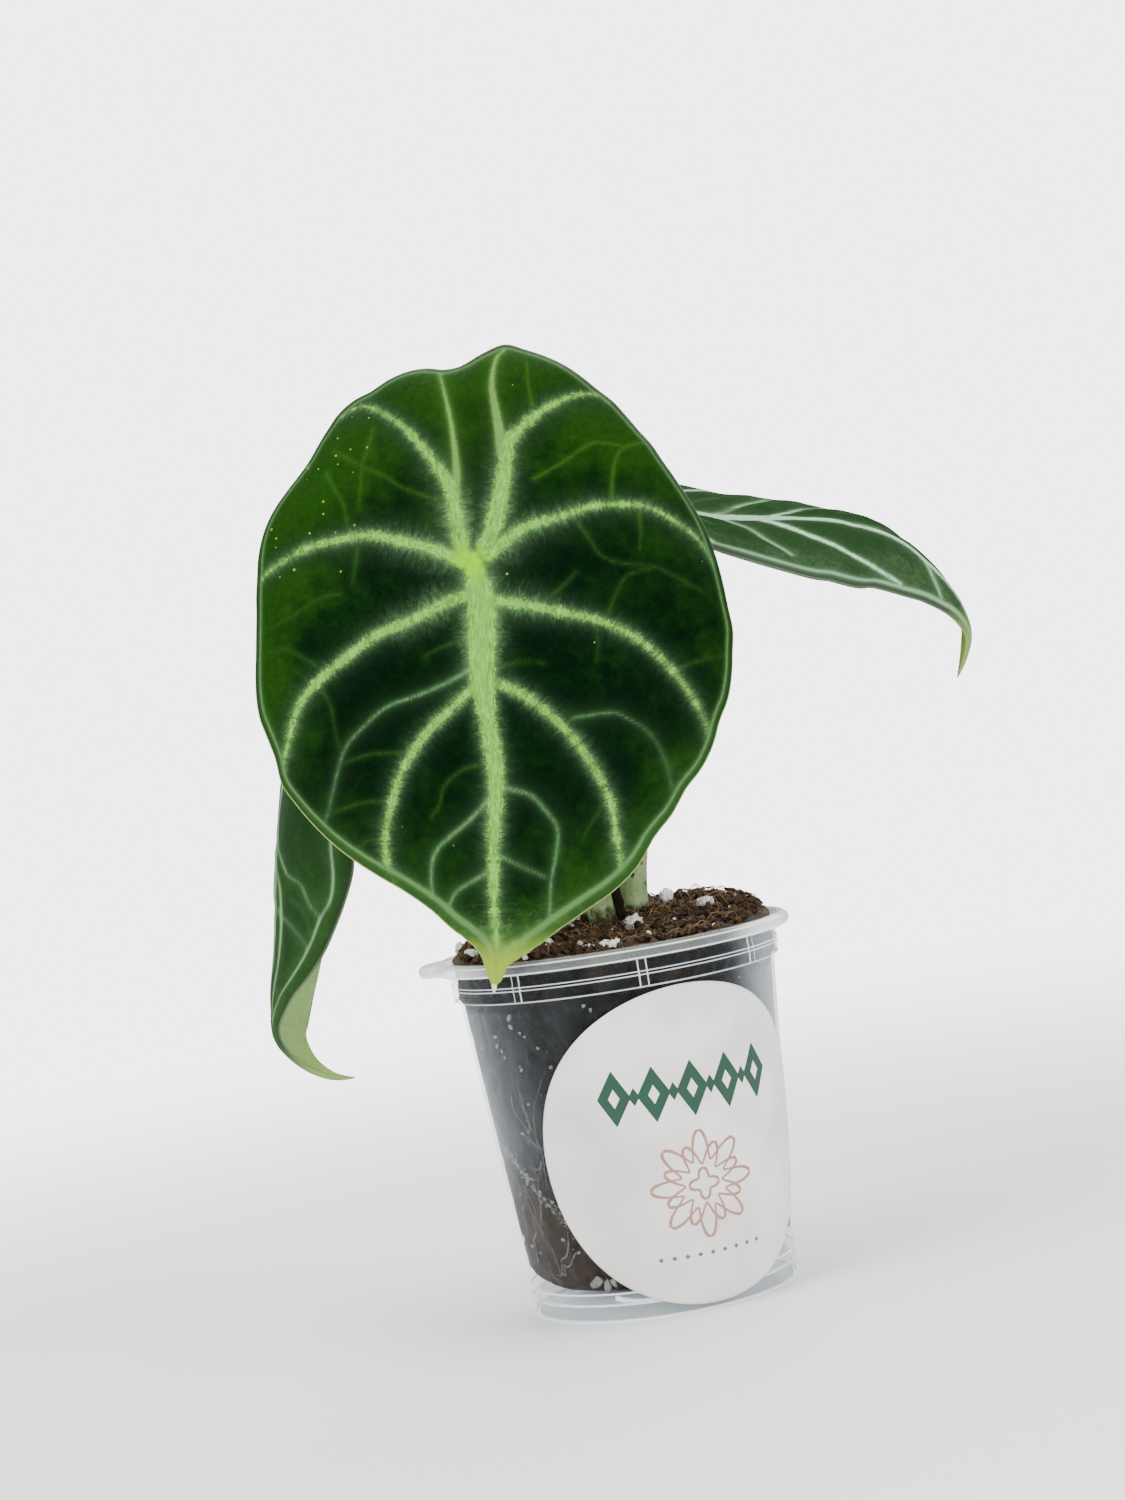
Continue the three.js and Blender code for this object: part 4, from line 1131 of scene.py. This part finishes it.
front_leaf = {
    "axis": [(-9, 0.5, 170), (-13, -15.5, 129), (-16.5, -27, 94), (-20, -32, 59.5)],
    "across": [(1, 0, 0), (1, 0, 0)],
    "fold": [3, 3],
    "curl": [0.25, 0.25],
    "radii": [65, 66.2, 63.9, 62, 60.6, 58.7, 55.9, 54.4, 52.6, 51.9, 50.8, 49.3, 48.6, 47.5, 46.3, 45.4,
              44, 43,
              42.2, 41.5, 40.9, 40.2, 39.6, 39.2, 39, 39.2, 39.2, 39.6, 40.2, 40.5, 41.2, 41.9, 42.3, 42.6,
              42.9, 40.9, 38.7, 38.3, 39.4, 39.9, 39.8, 39.4, 39.7, 39.4, 38.5, 37.7, 37.1, 37.2, 37.7, 38.3,
              38.7, 38.8, 38.7, 38.5, 38.6, 38.8, 39.4, 40.3, 41.6, 43.1, 44.5, 45.5, 46.9, 49.3, 50.6, 51.9,
              53.2, 54.4, 55.6, 57, 59.4, 63.2],
    "tip": [(-5, 0), (-3.2, 0.7), (-2, 2.1), (-1.5, 3.8), (-1.25, 5.1), (-0.85, 5.9), (-0.7, 6.6),
            (-0.55, 7.7),
            (-0.3, 7.7), (0.13, 6.3), (0.84, 5.5), (1.44, 3.8), (2, 2.6), (2.7, 1.9), (4, 0.9), (6, 0)],
    "edge_roll": 2.0,
    "quilt": 0.8,
    "cells": 214,
    "veins": {
        "strong": [
            ([1.6, 2.6, 2.6, 2.4, 1.7, 1.6, 1.5, 1.2, 1.0, 0.8, 0.4], (-1, 0), (7.5, 1), (15.5, 0.7),
             (21.5, 0.6), (29, 1.2), (37.5, 1.9), (48, 1), (57.5, 0.5), (65, 0.5), (69, 0)),
            ([1.6, 1.5, 1.0, 0.6, 0.3], (-1.5, -1.5), (-9, -2.4), (-14.6, -3.2), (-19, -5.5), (-23.7, -8.4),
             (-27.8, -11.7), (-32, -17.5), (-31, -22)),
            ([1.6, 1.7, 1.6, 1.4], (-2.5, 2), (-7.5, 4), (-15.4, 5.8), (-22.5, 7)),
            ([1.4, 0.95, 0.65, 0.3], (-22.5, 7), (-25.5, 10), (-28.5, 13.8), (-30.8, 18.5), (-31.5, 23),
             (-30.5, 25)),
            ([1.4, 1.1, 0.95, 0.8, 0.45], (-0.5, -1), (-3.7, -7.2), (-5.6, -12.2), (-7.4, -17.6),
             (-7.2, -23.4),
             (-6.4, -28.8), (-3.6, -35.3), (-2, -38)),
            ([1.4, 1.0, 0.75, 0.55, 0.3], (-1.5, 2.5), (-6, 8.5), (-7.9, 14.5), (-9.8, 20.6), (-10.1, 25),
             (-9.7, 29.9), (-6.9, 34.9), (-4, 38.5), (0, 41)),
            ([1.3, 1.1, 1.1, 0.85, 0.6], (5, 1), (6.5, -5), (9, -11), (11, -17), (14.1, -21.9), (17.6, -26.9),
             (21.5, -30.5), (27, -32.6), (32.5, -34.4)),
            ([1.3, 0.95, 0.8, 0.65, 0.5], (6.5, 2), (7.9, 9), (9.6, 15.5), (11.1, 20.9), (14.5, 27),
             (19, 31.5), (24, 35), (29, 37.5), (31, 38)),
            ([1.1, 0.95, 0.85, 0.75, 0.65], (20.5, 0.5), (24.8, -4.3), (28.5, -8.6), (31.9, -11.4),
             (35.8, -13.8),
             (40.6, -15.5), (45.5, -16.8), (50.5, -16.9), (54.5, -15.8)),
            ([1.0, 0.95, 0.85, 0.75, 0.65], (20.5, 1), (23.4, 6.8), (27.2, 11.3), (31.7, 15.2), (37.3, 18.5),
             (42.6, 20.6), (48, 21.2), (53.5, 22)),
        ],
        "thin": [
            ([0.9, 0.5, 0.25], (-12, -3), (-17, -2), (-26.5, -2.5), (-36, -4), (-38, -4.4)),
            ([1.1, 0.65, 0.3], (-20.5, 6), (-27.5, 5.3), (-33.5, 4.8), (-38.6, 5.8), (-40.5, 7.3)),
            ([0.5, 0.4, 0.3, 0.2, 0.15], (17.5, 0.5), (20.2, -4.4), (22.2, -9.9), (23.7, -15.4),
             (26.2, -18.9),
             (30.1, -22.8), (35.6, -24.8), (40.6, -26.3), (42.6, -27.3)),
            ([0.5, 0.4, 0.3], (39.5, 2), (43.8, -2.2), (46.8, -6.2), (49.2, -8.7), (52.6, -9.6),
             (56.5, -9.6)),
            ([0.45, 0.3, 0.25], (39, 2), (40.5, 7), (43, 9.5), (46.5, 11.5), (51, 11), (55, 10), (60.5, 9.5)),
            ([0.45, 0.35, 0.3], (52.5, 1), (54.4, -3), (55.9, -5.6), (59, -7.5)),
            ([0.4, 0.25, 0.2], (50, 1), (52.8, 6.1), (54.3, 9.1)),
            ([0.25, 0.15, 0.1], (27.9, 15.2), (27.2, 21.4), (28.1, 24), (31.2, 28), (36.2, 30.3), (40, 31)),
        ],
        "faint": [
            ([0.3, 0.15], (-11, 24), (-16, 24.5), (-20, 26), (-22, 30)),
            ([0.25, 0.1], (11, 21.5), (5.5, 24), (3, 26), (2, 30)),
            ([0.25, 0.1], (32, -14), (32, -19), (33, -24)),
            ([0.2, 0.1], (-15, 11), (-17.5, 15.5), (-20, 19), (-21.5, 22), (-21, 26)),
            ([0.2, 0.1], (-6.5, 18), (-4, 19.5), (-0.5, 21.5), (1, 25), (1.5, 30), (3, 33), (6, 38.5)),
            ([0.2, 0.1], (-8.5, 28.5), (-5, 28.5), (-1.5, 28)),
            ([0.2, 0.1], (-29, 11.5), (-33, 11), (-37.5, 11)),
            ([0.15, 0.05], (-27, -16), (-23, -17), (-20.5, -18), (-16, -18.5), (-12, -19)),
            ([0.15, 0.05], (-24, -23), (-21.5, -20), (-20, -18), (-17.5, -14), (-15, -11), (-12.5, -6)),
            ([0.2, 0.1], (-20, -24.5), (-15.5, -22.5), (-13, -21.5), (-9, -21)),
            ([0.2, 0.1], (-5, -19.5), (-1.5, -20), (1.5, -20.5)),
            ([0.15, 0.2], (7, -36.5), (6.5, -33), (4, -28), (3, -25), (3, -22.5)),
            ([0.15, 0.25], (11.5, -37), (11.5, -33.5), (12, -31.5), (13.5, -29.5), (15, -27.5)),
            ([0.2, 0.05], (19.5, -26.5), (23, -25), (26.5, -24.5), (30, -24)),
            ([0.35, 0.1], (13, -1), (14, -4.5), (15, -7), (16, -9)),
            ([0.25, 0.15], (40, -17), (40, -20), (40.5, -22.5), (41, -25)),
            ([0.2, 0.1], (46.5, -17.5), (46.5, -20), (48, -22)),
            ([0.3, 0.1], (35, 0), (36, -3.5), (38.5, -6.5), (41.5, -7.5), (43.5, -9)),
            ([0.3, 0.1], (6.5, 12.5), (4.5, 15), (2.5, 17)),
            ([0.2, 0.05], (12.5, 20), (15.5, 20), (18.5, 19.5)),
            ([0.2, 0.05], (19.5, 33.5), (18.5, 36.5), (17, 42)),
            ([0.35, 0.05], (18.5, 4), (18, 7), (18.5, 11)),
            ([0.2, 0.05], (43.5, 19), (46, 17), (48.5, 15.5)),
            ([0.3, 0.1], (59, 2), (60, 4.5), (62, 5.5), (64, 5)),
        ],
    },
}
front_tones = {
    "deep": (0.0004, 0.0058, 0.0014), "middle": (0.0028, 0.0200, 0.0018), "bright": (0.0096, 0.0460, 0.0024),
    "shade": (0.0016, 0.0102, 0.0045), "mottle": 0.12, "gloss": 0.03,
    "vein": (0.080, 0.215, 0.036), "vein light": (0.155, 0.400, 0.052), "vein thread": (0.27, 0.53, 0.15),
    "fringe": (0.120, 0.225, 0.098), "fade": 0.32, "haze": 0.12, "wisps": 0.20, "ragged": 1.0,
    "thin vein": (0.070, 0.155, 0.060), "top vein": (0.115, 0.245, 0.055), "thin fade": 0.24,
    "faint vein": (0.013, 0.047, 0.007), "top faint": (0.024, 0.082, 0.008),
    "strip": (0.006, 0.026, 0.004), "low strip": (0.020, 0.062, 0.011), "margin vein": (0.085, 0.190, 0.062),
    "margin": (1.35, 2.2), "margin half": (0.05, 0.35), "margin fade": 0.24, "margin strength": (0.6, 0.9),
    "margin glow": 0.07, "edge line": (0.30, 0.40, 0.12),
    "tip": (64.5, 70.5), "tip colour": (0.25, 0.37, 0.035), "pale end": 0.45,
    "end colour": (0.11, 0.22, 0.055), "bristle": 1.0, "joint": 0.97, "specks": 0.9,
}
pale_under = under_leaf("leaf underside", (0.115, 0.185, 0.058), (0.22, 0.31, 0.12), (0.26, 0.33, 0.06))
blade_front = make_blade("blade_front", front_leaf, upper_leaf("front leaf", front_tones), pale_under)
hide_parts("leaf_front")
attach(blade_front, "root")

# Back blades. Two longer leaves of the same kind, one arching away to the right and seen almost
# edge-on, the other hanging at the left with its sides folded back and its tip curled under.


def both_sides(half_widths, *points):
    """A vein, and the same vein mirrored across the midrib."""
    return [(half_widths, *points), (half_widths, *((p, -q) for p, q in points))]


back_veins = {
    "strong": [
        ([1.1, 1.0, 0.8, 0.6, 0.35], (-2, 0), (15, 0), (30, 0), (45, 0), (58, 0), (68, 0), (74, 0)),
        *both_sides([0.7, 0.5, 0.3], (0, 0.5), (-8, 2.5), (-14, 5), (-19, 9), (-21, 12)),
        *both_sides([0.7, 0.5, 0.3], (0, 0.5), (1, 6), (4, 12), (9, 18), (14, 22)),
    ],
    "faint": [
        *both_sides([0.2, 0.1], (8, 0), (9, 6), (13, 12)),
        ([0.2, 0.1], (44, 0), (49, 4), (53, 7)),
        ([0.2, 0.1], (35, 6), (38, 10), (43, 13)),
    ],
}
back_tip = [(off, 15 * np.exp(-abs(off) / 3)) for off in np.linspace(-18, 18, 73)]
right_leaf = {
    "axis": [(-12, 22, 139), (17.5, 18, 135.5), (32.5, 17, 131), (45, 15.5, 129), (53, 14.5, 127),
             (61.5, 13.5, 122.5), (68.5, 12.5, 114), (71.5, 12, 105), (68.5, 11, 96)],
    "across": [(0.05, 0.97, 0.24), (0.05, 0.97, 0.26), (0.05, 0.96, 0.27), (0.05, 0.9, 0.44),
               (0.1, 0.8, 0.6)],
    "fold": [-3, 0, -4, 7, 14, 2],
    "curl": [0.2, 0.2, 0.2, 0.3, 0.4, 0.4],
    "radii": [61, 41, 26.5, 23, 22, 24, 25, 24, 22, 23, 26.5, 41],
    "tip": back_tip,
    "edge_roll": 1.0,
    "quilt": 0.7,
    "cells": 150,
    "veins": {
        "strong": back_veins["strong"] + [
            ([0.75, 0.5, 0.3], (21, 0), (26, 5), (29, 11.5), (33, 17)),
            # This wide pale band just above the midrib is painted sheen, drawn as a strong vein.
            ([0.4, 1.3, 1.2, 0.4], (9, 0.6), (15, 1.6), (21, 1.6), (28, 0.6)),
            ([0.75, 0.6, 0.35], (22, -1), (29.5, -7.5), (36.5, -10.5), (46.5, -12), (52, -11)),
        ],
        "thin": [
            ([0.6, 0.4, 0.3], (13, 1), (16, 7.5), (18.5, 13), (22, 19)),
            ([0.4, 0.3, 0.2], (14, 0), (19, -6.5), (23, -13), (28, -18)),
            ([0.4, 0.3, 0.2], (52, 0), (56, -3), (59.5, -5)),
            ([0.4, 0.3, 0.2], (38, 0), (43, 4.5), (47, 8)),
        ],
        "faint": back_veins["faint"],
    },
}
left_leaf = {
    "axis": [(-38.5, 13, 135), (-48, 14, 110.5), (-53.5, 13, 94.5), (-56.5, 12, 82.5), (-58.5, 10, 69.5),
             (-60.5, 8.5, 60), (-60.6, 7.2, 53.5), (-57.4, 6, 48.4), (-52.8, 5, 45.2), (-48, 4, 44)],
    "across": [(0.5, -0.93, 0), (0.5, -0.93, 0), (0.2, -0.93, 0), (0.2, -0.93, 0), (-0.12, -0.93, 0),
               (-0.6, -0.93, 0)],
    "fold": [5, 5, 4, 20, 14, 19],
    "curl": [1.4, 1.4],
    "radii": [61, 38.5, 27.5, 24, 23, 25, 26, 25, 23, 24, 27.5, 38.5],
    "tip": back_tip,
    "edge_roll": 0.8,
    "quilt": 0.6,
    "cells": 150,
    "veins": {
        "strong": back_veins["strong"],
        "thin": [
            ([0.35, 0.2, 0.15], (23, 0), (26.5, 2), (30.5, 5), (32.5, 8.5), (36.5, 11), (39, 14)),
            ([0.25, 0.12, 0.1], (36, 0), (40, 6.5), (43.5, 12)),
            ([0.45, 0.35, 0.25], (23, 0), (30, -6), (36, -11), (39, -14)),
            ([0.35, 0.25, 0.15], (36, 0), (40, -6), (43.5, -11)),
            ([0.2, 0.35, 0.3, 0.25], (28, 0.3), (32, 2), (36, 2.6), (45, 2.8), (52, 3), (57, 4)),
            ([0.18, 0.2, 0.22, 0.2], (14, 20.5), (20, 19.5), (26, 17.5), (31.5, 16.5), (36.5, 15.5), (39, 14),
             (43.5, 12.5), (48, 10.5), (52.5, 7.5), (57, 4)),
        ],
        "faint": back_veins["faint"],
    },
}
# The right leaf's ground and veins are paler and greyer than the front leaf's: partly its own colour and
# partly painted sheen, as it is seen almost edge-on.
right_tones = {
    **front_tones,
    "deep": (0.014, 0.038, 0.011), "middle": (0.034, 0.068, 0.031), "bright": (0.048, 0.095, 0.038),
    "shade": (0.020, 0.044, 0.018), "mottle": 0.6, "gloss": 0.0,
    "vein": (0.22, 0.40, 0.23), "vein light": (0.36, 0.62, 0.38), "vein thread": (0.44, 0.70, 0.46),
    "fringe": (0.13, 0.22, 0.13), "fade": 0.3, "haze": 0.06, "ragged": 0.35,
    "thin vein": (0.20, 0.35, 0.20), "top vein": (0.20, 0.35, 0.20),
    "faint vein": (0.06, 0.12, 0.055), "top faint": (0.06, 0.12, 0.055),
    "strip": (0.030, 0.048, 0.030), "low strip": (0.030, 0.050, 0.028), "margin vein": (0.20, 0.35, 0.20),
    "margin": (1.2, 1.4), "margin half": (0.12, 0.3), "margin fade": 0.2, "margin strength": (0.5, 0.9),
    "margin glow": 0.1, "edge line": (0.10, 0.13, 0.08),
    "tip": (63, 73), "tip colour": (0.21, 0.32, 0.10), "pale end": 0.0,
    "bristle": 0.0, "joint": 0.0, "specks": 0.2,
}
left_tones = {
    **right_tones,
    "deep": (0.009, 0.032, 0.008), "middle": (0.020, 0.056, 0.011), "bright": (0.026, 0.068, 0.012),
    "shade": (0.012, 0.036, 0.009), "mottle": 0.3, "gloss": 0.02,
    "vein": (0.09, 0.18, 0.085), "vein light": (0.16, 0.29, 0.15), "vein thread": (0.22, 0.36, 0.20),
    "fringe": (0.03, 0.07, 0.03), "ragged": 0.15, "thin vein": (0.14, 0.26, 0.125), "thin fade": 0.14,
    "faint vein": (0.035, 0.085, 0.03), "top faint": (0.035, 0.085, 0.03),
    "strip": (0.020, 0.038, 0.017), "low strip": (0.020, 0.042, 0.018),
    "margin": (1.0, 1.0), "margin strength": (0.0, 0.0), "margin glow": 0.0,
}
blade_right = make_blade("blade_right", right_leaf, upper_leaf("right leaf", right_tones), pale_under)
# The left leaf's underside is painted much paler than the front leaf's: its own pale green, and painted light
# to make up for the light that the front leaf keeps from it.
painted_light_left_under = under_leaf("left leaf underside", (0.34, 0.53, 0.20), (0.42, 0.60, 0.28), (0.36, 0.50, 0.15))
blade_left = make_blade("blade_left", left_leaf, upper_leaf("left leaf", left_tones), painted_light_left_under)
for blade, node_name in ((blade_right, "leaf_right"), (blade_left, "leaf_left")):
    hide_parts(node_name)
    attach(blade, "root")

# Stalks. Round, juicy leaf stalks, pale green with dark flecks. Each one thins from its base in the soil and
# widens again where it spreads into the ribs under its blade. A ragged, nearly black sliver between two of
# them is painted shadow in the gap where they part.
stalk_shapes = {
    "front": (front_leaf, [(-0.6, -2.2, 52), (-0.9, -2.2, 66), (-3.2, -3, 88), (-8.5, -5.5, 110),
                           (-12.2, -11, 124.5), (-13, -15.5, 129)], [2.5, 2.45, 2.2, 1.9, 1.7, 1.9]),
    "right": (right_leaf, [(4.6, 1.9, 52), (5, 2, 66), (6.9, 3, 78), (13.5, 8.5, 100), (17, 14.5, 122),
                           (17.5, 18, 135.5)], [2.5, 2.4, 2.2, 1.9, 1.6, 1.8]),
    "left": (left_leaf, [(-0.6, 4.6, 52), (-1.2, 4.8, 67), (-8.5, 8.5, 90), (-22, 14, 108), (-37, 17, 115),
                         (-48, 14, 110.5)], [2.4, 2.3, 2, 1.7, 1.5, 1.6]),
}
stalk_sides = 28
# Path and widths of the dark sliver that stands for the shadow between two stalks.
gap_shadow_path = [(1.95, -1.4, 62), (2.0, -1.3, 68), (2.0, -1.2, 74), (2.05, -1.0, 80)]
gap_shadow_widths = (1.2, 0.75)


def stalk_finish():
    """Pale green skin, lighter below, with fine lengthwise lines, dark flecks, and nearly black near the
    base.
    """
    finish, place = new_finish("stalk")
    z = coordinate(place, 2) * millimetres
    lines = noise(stretched(place, (1, 1, 0.06)), 1500, 3)
    mottle = noise(place, 420, 4, 0.6)
    flecks = noise(stretched(place, (1, 1, 0.5)), 1000, 3, 0.6)
    colour = layered(
        mixed(ramp(z, 66.0, 100.0), (0.19, 0.27, 0.115), (0.11, 0.19, 0.06)),
        (ramp(mottle, 0.35, 0.65, 0.0, 0.5), (0.26, 0.33, 0.17)),
        (ramp(lines, 0.5, 0.7, 0.0, 0.35), (0.085, 0.125, 0.05)),
        (ramp(flecks, 0.61, 0.64, 0.0, 0.95), (0.010, 0.010, 0.006)),
        # Nearly black low down near the soil.
        (ramp(mottle * 9.0 + z, 73.0, 70.5, 0.0, 0.9), (0.012, 0.008, 0.005)))
    return surfaced(finish, {
        "Base Color": colour,
        "Roughness": 0.45,
        "Normal": bump(lines, 0.0003, 0.5),
        "Subsurface Weight": 0.1,
        "Subsurface Radius": (0.002, 0.003, 0.001),
    })


def make_stalk(name, leaf, path, radii, finish):
    """Rings along a smooth path, widened over its last tenth. Past the plane of the blade's underside at
    the joint a ring is drawn back along the path to it, and the last ring lies on it."""
    places, run = curve_places(path)
    part = np.linspace(0, 1, 90)
    spine = along_curve(run, part * run[-1], places)
    flare = 1 + 0.6 * smooth_step(part, 0.88, 1.0) ** 2
    points = swept(spine[None], (smooth_curve(radii, part) * flare)[None], stalk_sides)[0]
    rings = points[:-2].reshape(len(part), stalk_sides, 3)
    below = np.full(3, -blade_thickness / 2)
    seat = bent_blade(leaf, np.array([0.0, 1.0, 0.0]), np.array([0.0, 0.0, 1.0]), below)
    square = np.cross(seat[1] - seat[0], seat[2] - seat[0])
    heading = unit(spine[-1] - spine[-4])
    left = (seat[0] - rings) @ square / (heading @ square)
    left[:-1] = np.minimum(left[:-1], 0)
    near = part[:, None] > 0.8
    points, faces = closed_rings(rings + (left * near)[..., None] * heading)
    return add_piece(name, points, faces, finish)


def make_gap_shadow():
    """A ragged tapering sliver, nearly black, as painted shadow in the gap between two stalks: a tube whose
    points are moved by random grain.
    """
    spine = smooth_curve(gap_shadow_path, np.linspace(0, 1, 40))
    points, faces = swept(spine[None], np.linspace(*gap_shadow_widths, 40)[None], 12)
    points = points + 0.4 * np.stack([grain(points, 1.1, seed) for seed in (61, 62, 63)], -1)
    finish, place = new_finish("painted gap shadow")
    colour = mixed(noise(place, 1500, 4, 0.6), (0.003, 0.002, 0.0015), (0.012, 0.009, 0.005))
    return add_piece("gap_shadow_sliver", points, faces, surfaced(finish, {"Base Color": colour, "Roughness": 0.9}))


green_skin = stalk_finish()
for side, (leaf, path, radii) in stalk_shapes.items():
    stalk = make_stalk("leaf_stalk_" + side, leaf, path, radii, green_skin)
    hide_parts("stalk_" + side)
    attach(stalk, "root")
gap_shadow = make_gap_shadow()
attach(gap_shadow, "root")

# Stage. A wide pale floor that fades out to the colour of the surroundings, three soft lamps in front,
# one above, one behind and a small one at the left, and the camera where the photograph was taken from.
# Their sizes and places are metres.
floor_size = 6.0
floor_fade = (0.12, 0.55)
pale_glow = 4.5
lamp_target = (0.0, 0.0, 0.09)
lamps = {  # place, size, power, and whether glossy surfaces mirror it
    "lamp_left": ((-0.95, -0.7, 0.75), 0.8, 17.5, False),
    "lamp_right": ((1.05, -0.65, 0.6), 0.9, 14.5, False),
    "lamp_front": ((0.15, -1.1, 0.12), 0.5, 9.0, False),
    "lamp_top": ((0.0, 0.15, 1.3), 1.0, 12.0, True),
    "lamp_back": ((0.3, 1.0, 0.8), 0.9, 8.0, True),
    "lamp_side": ((-1.2, -0.1, 0.25), 0.35, 2.5, True),
}
camera_place = (-0.0031, -0.537, 0.106)
camera_pitch = 1.1
camera_roll = 9.08
photo_height = 1500
focal_pixels = 3100
sensor = 36.0


def make_floor():
    """A square sheet at height 0, matte and pale. Its own colour shows near the pot and is gone further
    out."""
    finish, place = new_finish("floor")
    away = node(place.tree, "VectorMath", {0: place}, "Value", operation="LENGTH")
    surfaced(finish, {
        "Alpha": ramp(away, *floor_fade, 1.0, 0.0),
        "Base Color": mixed(noise(place, 300, 3), (0.90, 0.90, 0.90), (0.93, 0.93, 0.93)),
        "Roughness": 0.8,
    })
    corners = np.array([(-1, -1, 0), (1, -1, 0), (1, 1, 0), (-1, 1, 0)]) * floor_size / 2 * millimetres
    return add_piece("floor", corners, [np.array([(0, 1, 2, 3)])], finish)


def add_lamp(name, place, size, power, mirrored):
    """A square soft lamp at a place, facing the target."""
    lamp = bpy.data.lights.new(name, "AREA")
    lamp.size = size
    lamp.energy = power
    holder = bpy.data.objects.new(name, lamp)
    holder.visible_glossy = mirrored
    bpy.context.scene.collection.objects.link(holder)
    away = Vector(place) - Vector(lamp_target)
    holder.matrix_world = Matrix.Translation(place) @ away.to_track_quat("Z", "Y").to_matrix().to_4x4()


def make_surroundings():
    """Even and pale where the camera looks past the plant. What lights it is dim in front and brighter
    behind and above, so that the dark blades don't mirror a white room."""
    world = bpy.data.worlds.new("surroundings")
    world.use_nodes = True
    tree = world.node_tree
    direction = node(tree, "TexCoord", {}, "Generated")
    glow = ramp(coordinate(direction, 1), -0.2, 0.9, 0.06, 0.9)
    glow = glow + ramp(coordinate(direction, 2), 0.45, 1.0, 0.0, 1.1)
    seen = node(tree, "LightPath", {}, "Is Camera Ray")
    strength = seen * pale_glow + (1.0 - seen) * glow
    join(tree, tree.nodes["Background"], {"Color": (1.0, 1.0, 1.0, 1.0), "Strength": strength})
    bpy.context.scene.world = world


make_floor()
for name, settings in lamps.items():
    add_lamp(name, *settings)
make_surroundings()

camera = bpy.data.objects.new("camera", bpy.data.cameras.new("camera"))
bpy.context.scene.collection.objects.link(camera)
camera.data.sensor_width = sensor
camera.data.lens = focal_pixels / photo_height * sensor
camera.data.clip_start = 0.01
camera.data.clip_end = 20
tilt = Matrix.Rotation(np.radians(90 - camera_pitch), 4, "X")
roll = Matrix.Rotation(np.radians(-camera_roll), 4, "Z")
camera.matrix_world = Matrix.Translation(camera_place) @ tilt @ roll
bpy.context.scene.camera = camera

bpy.context.view_layer.update()
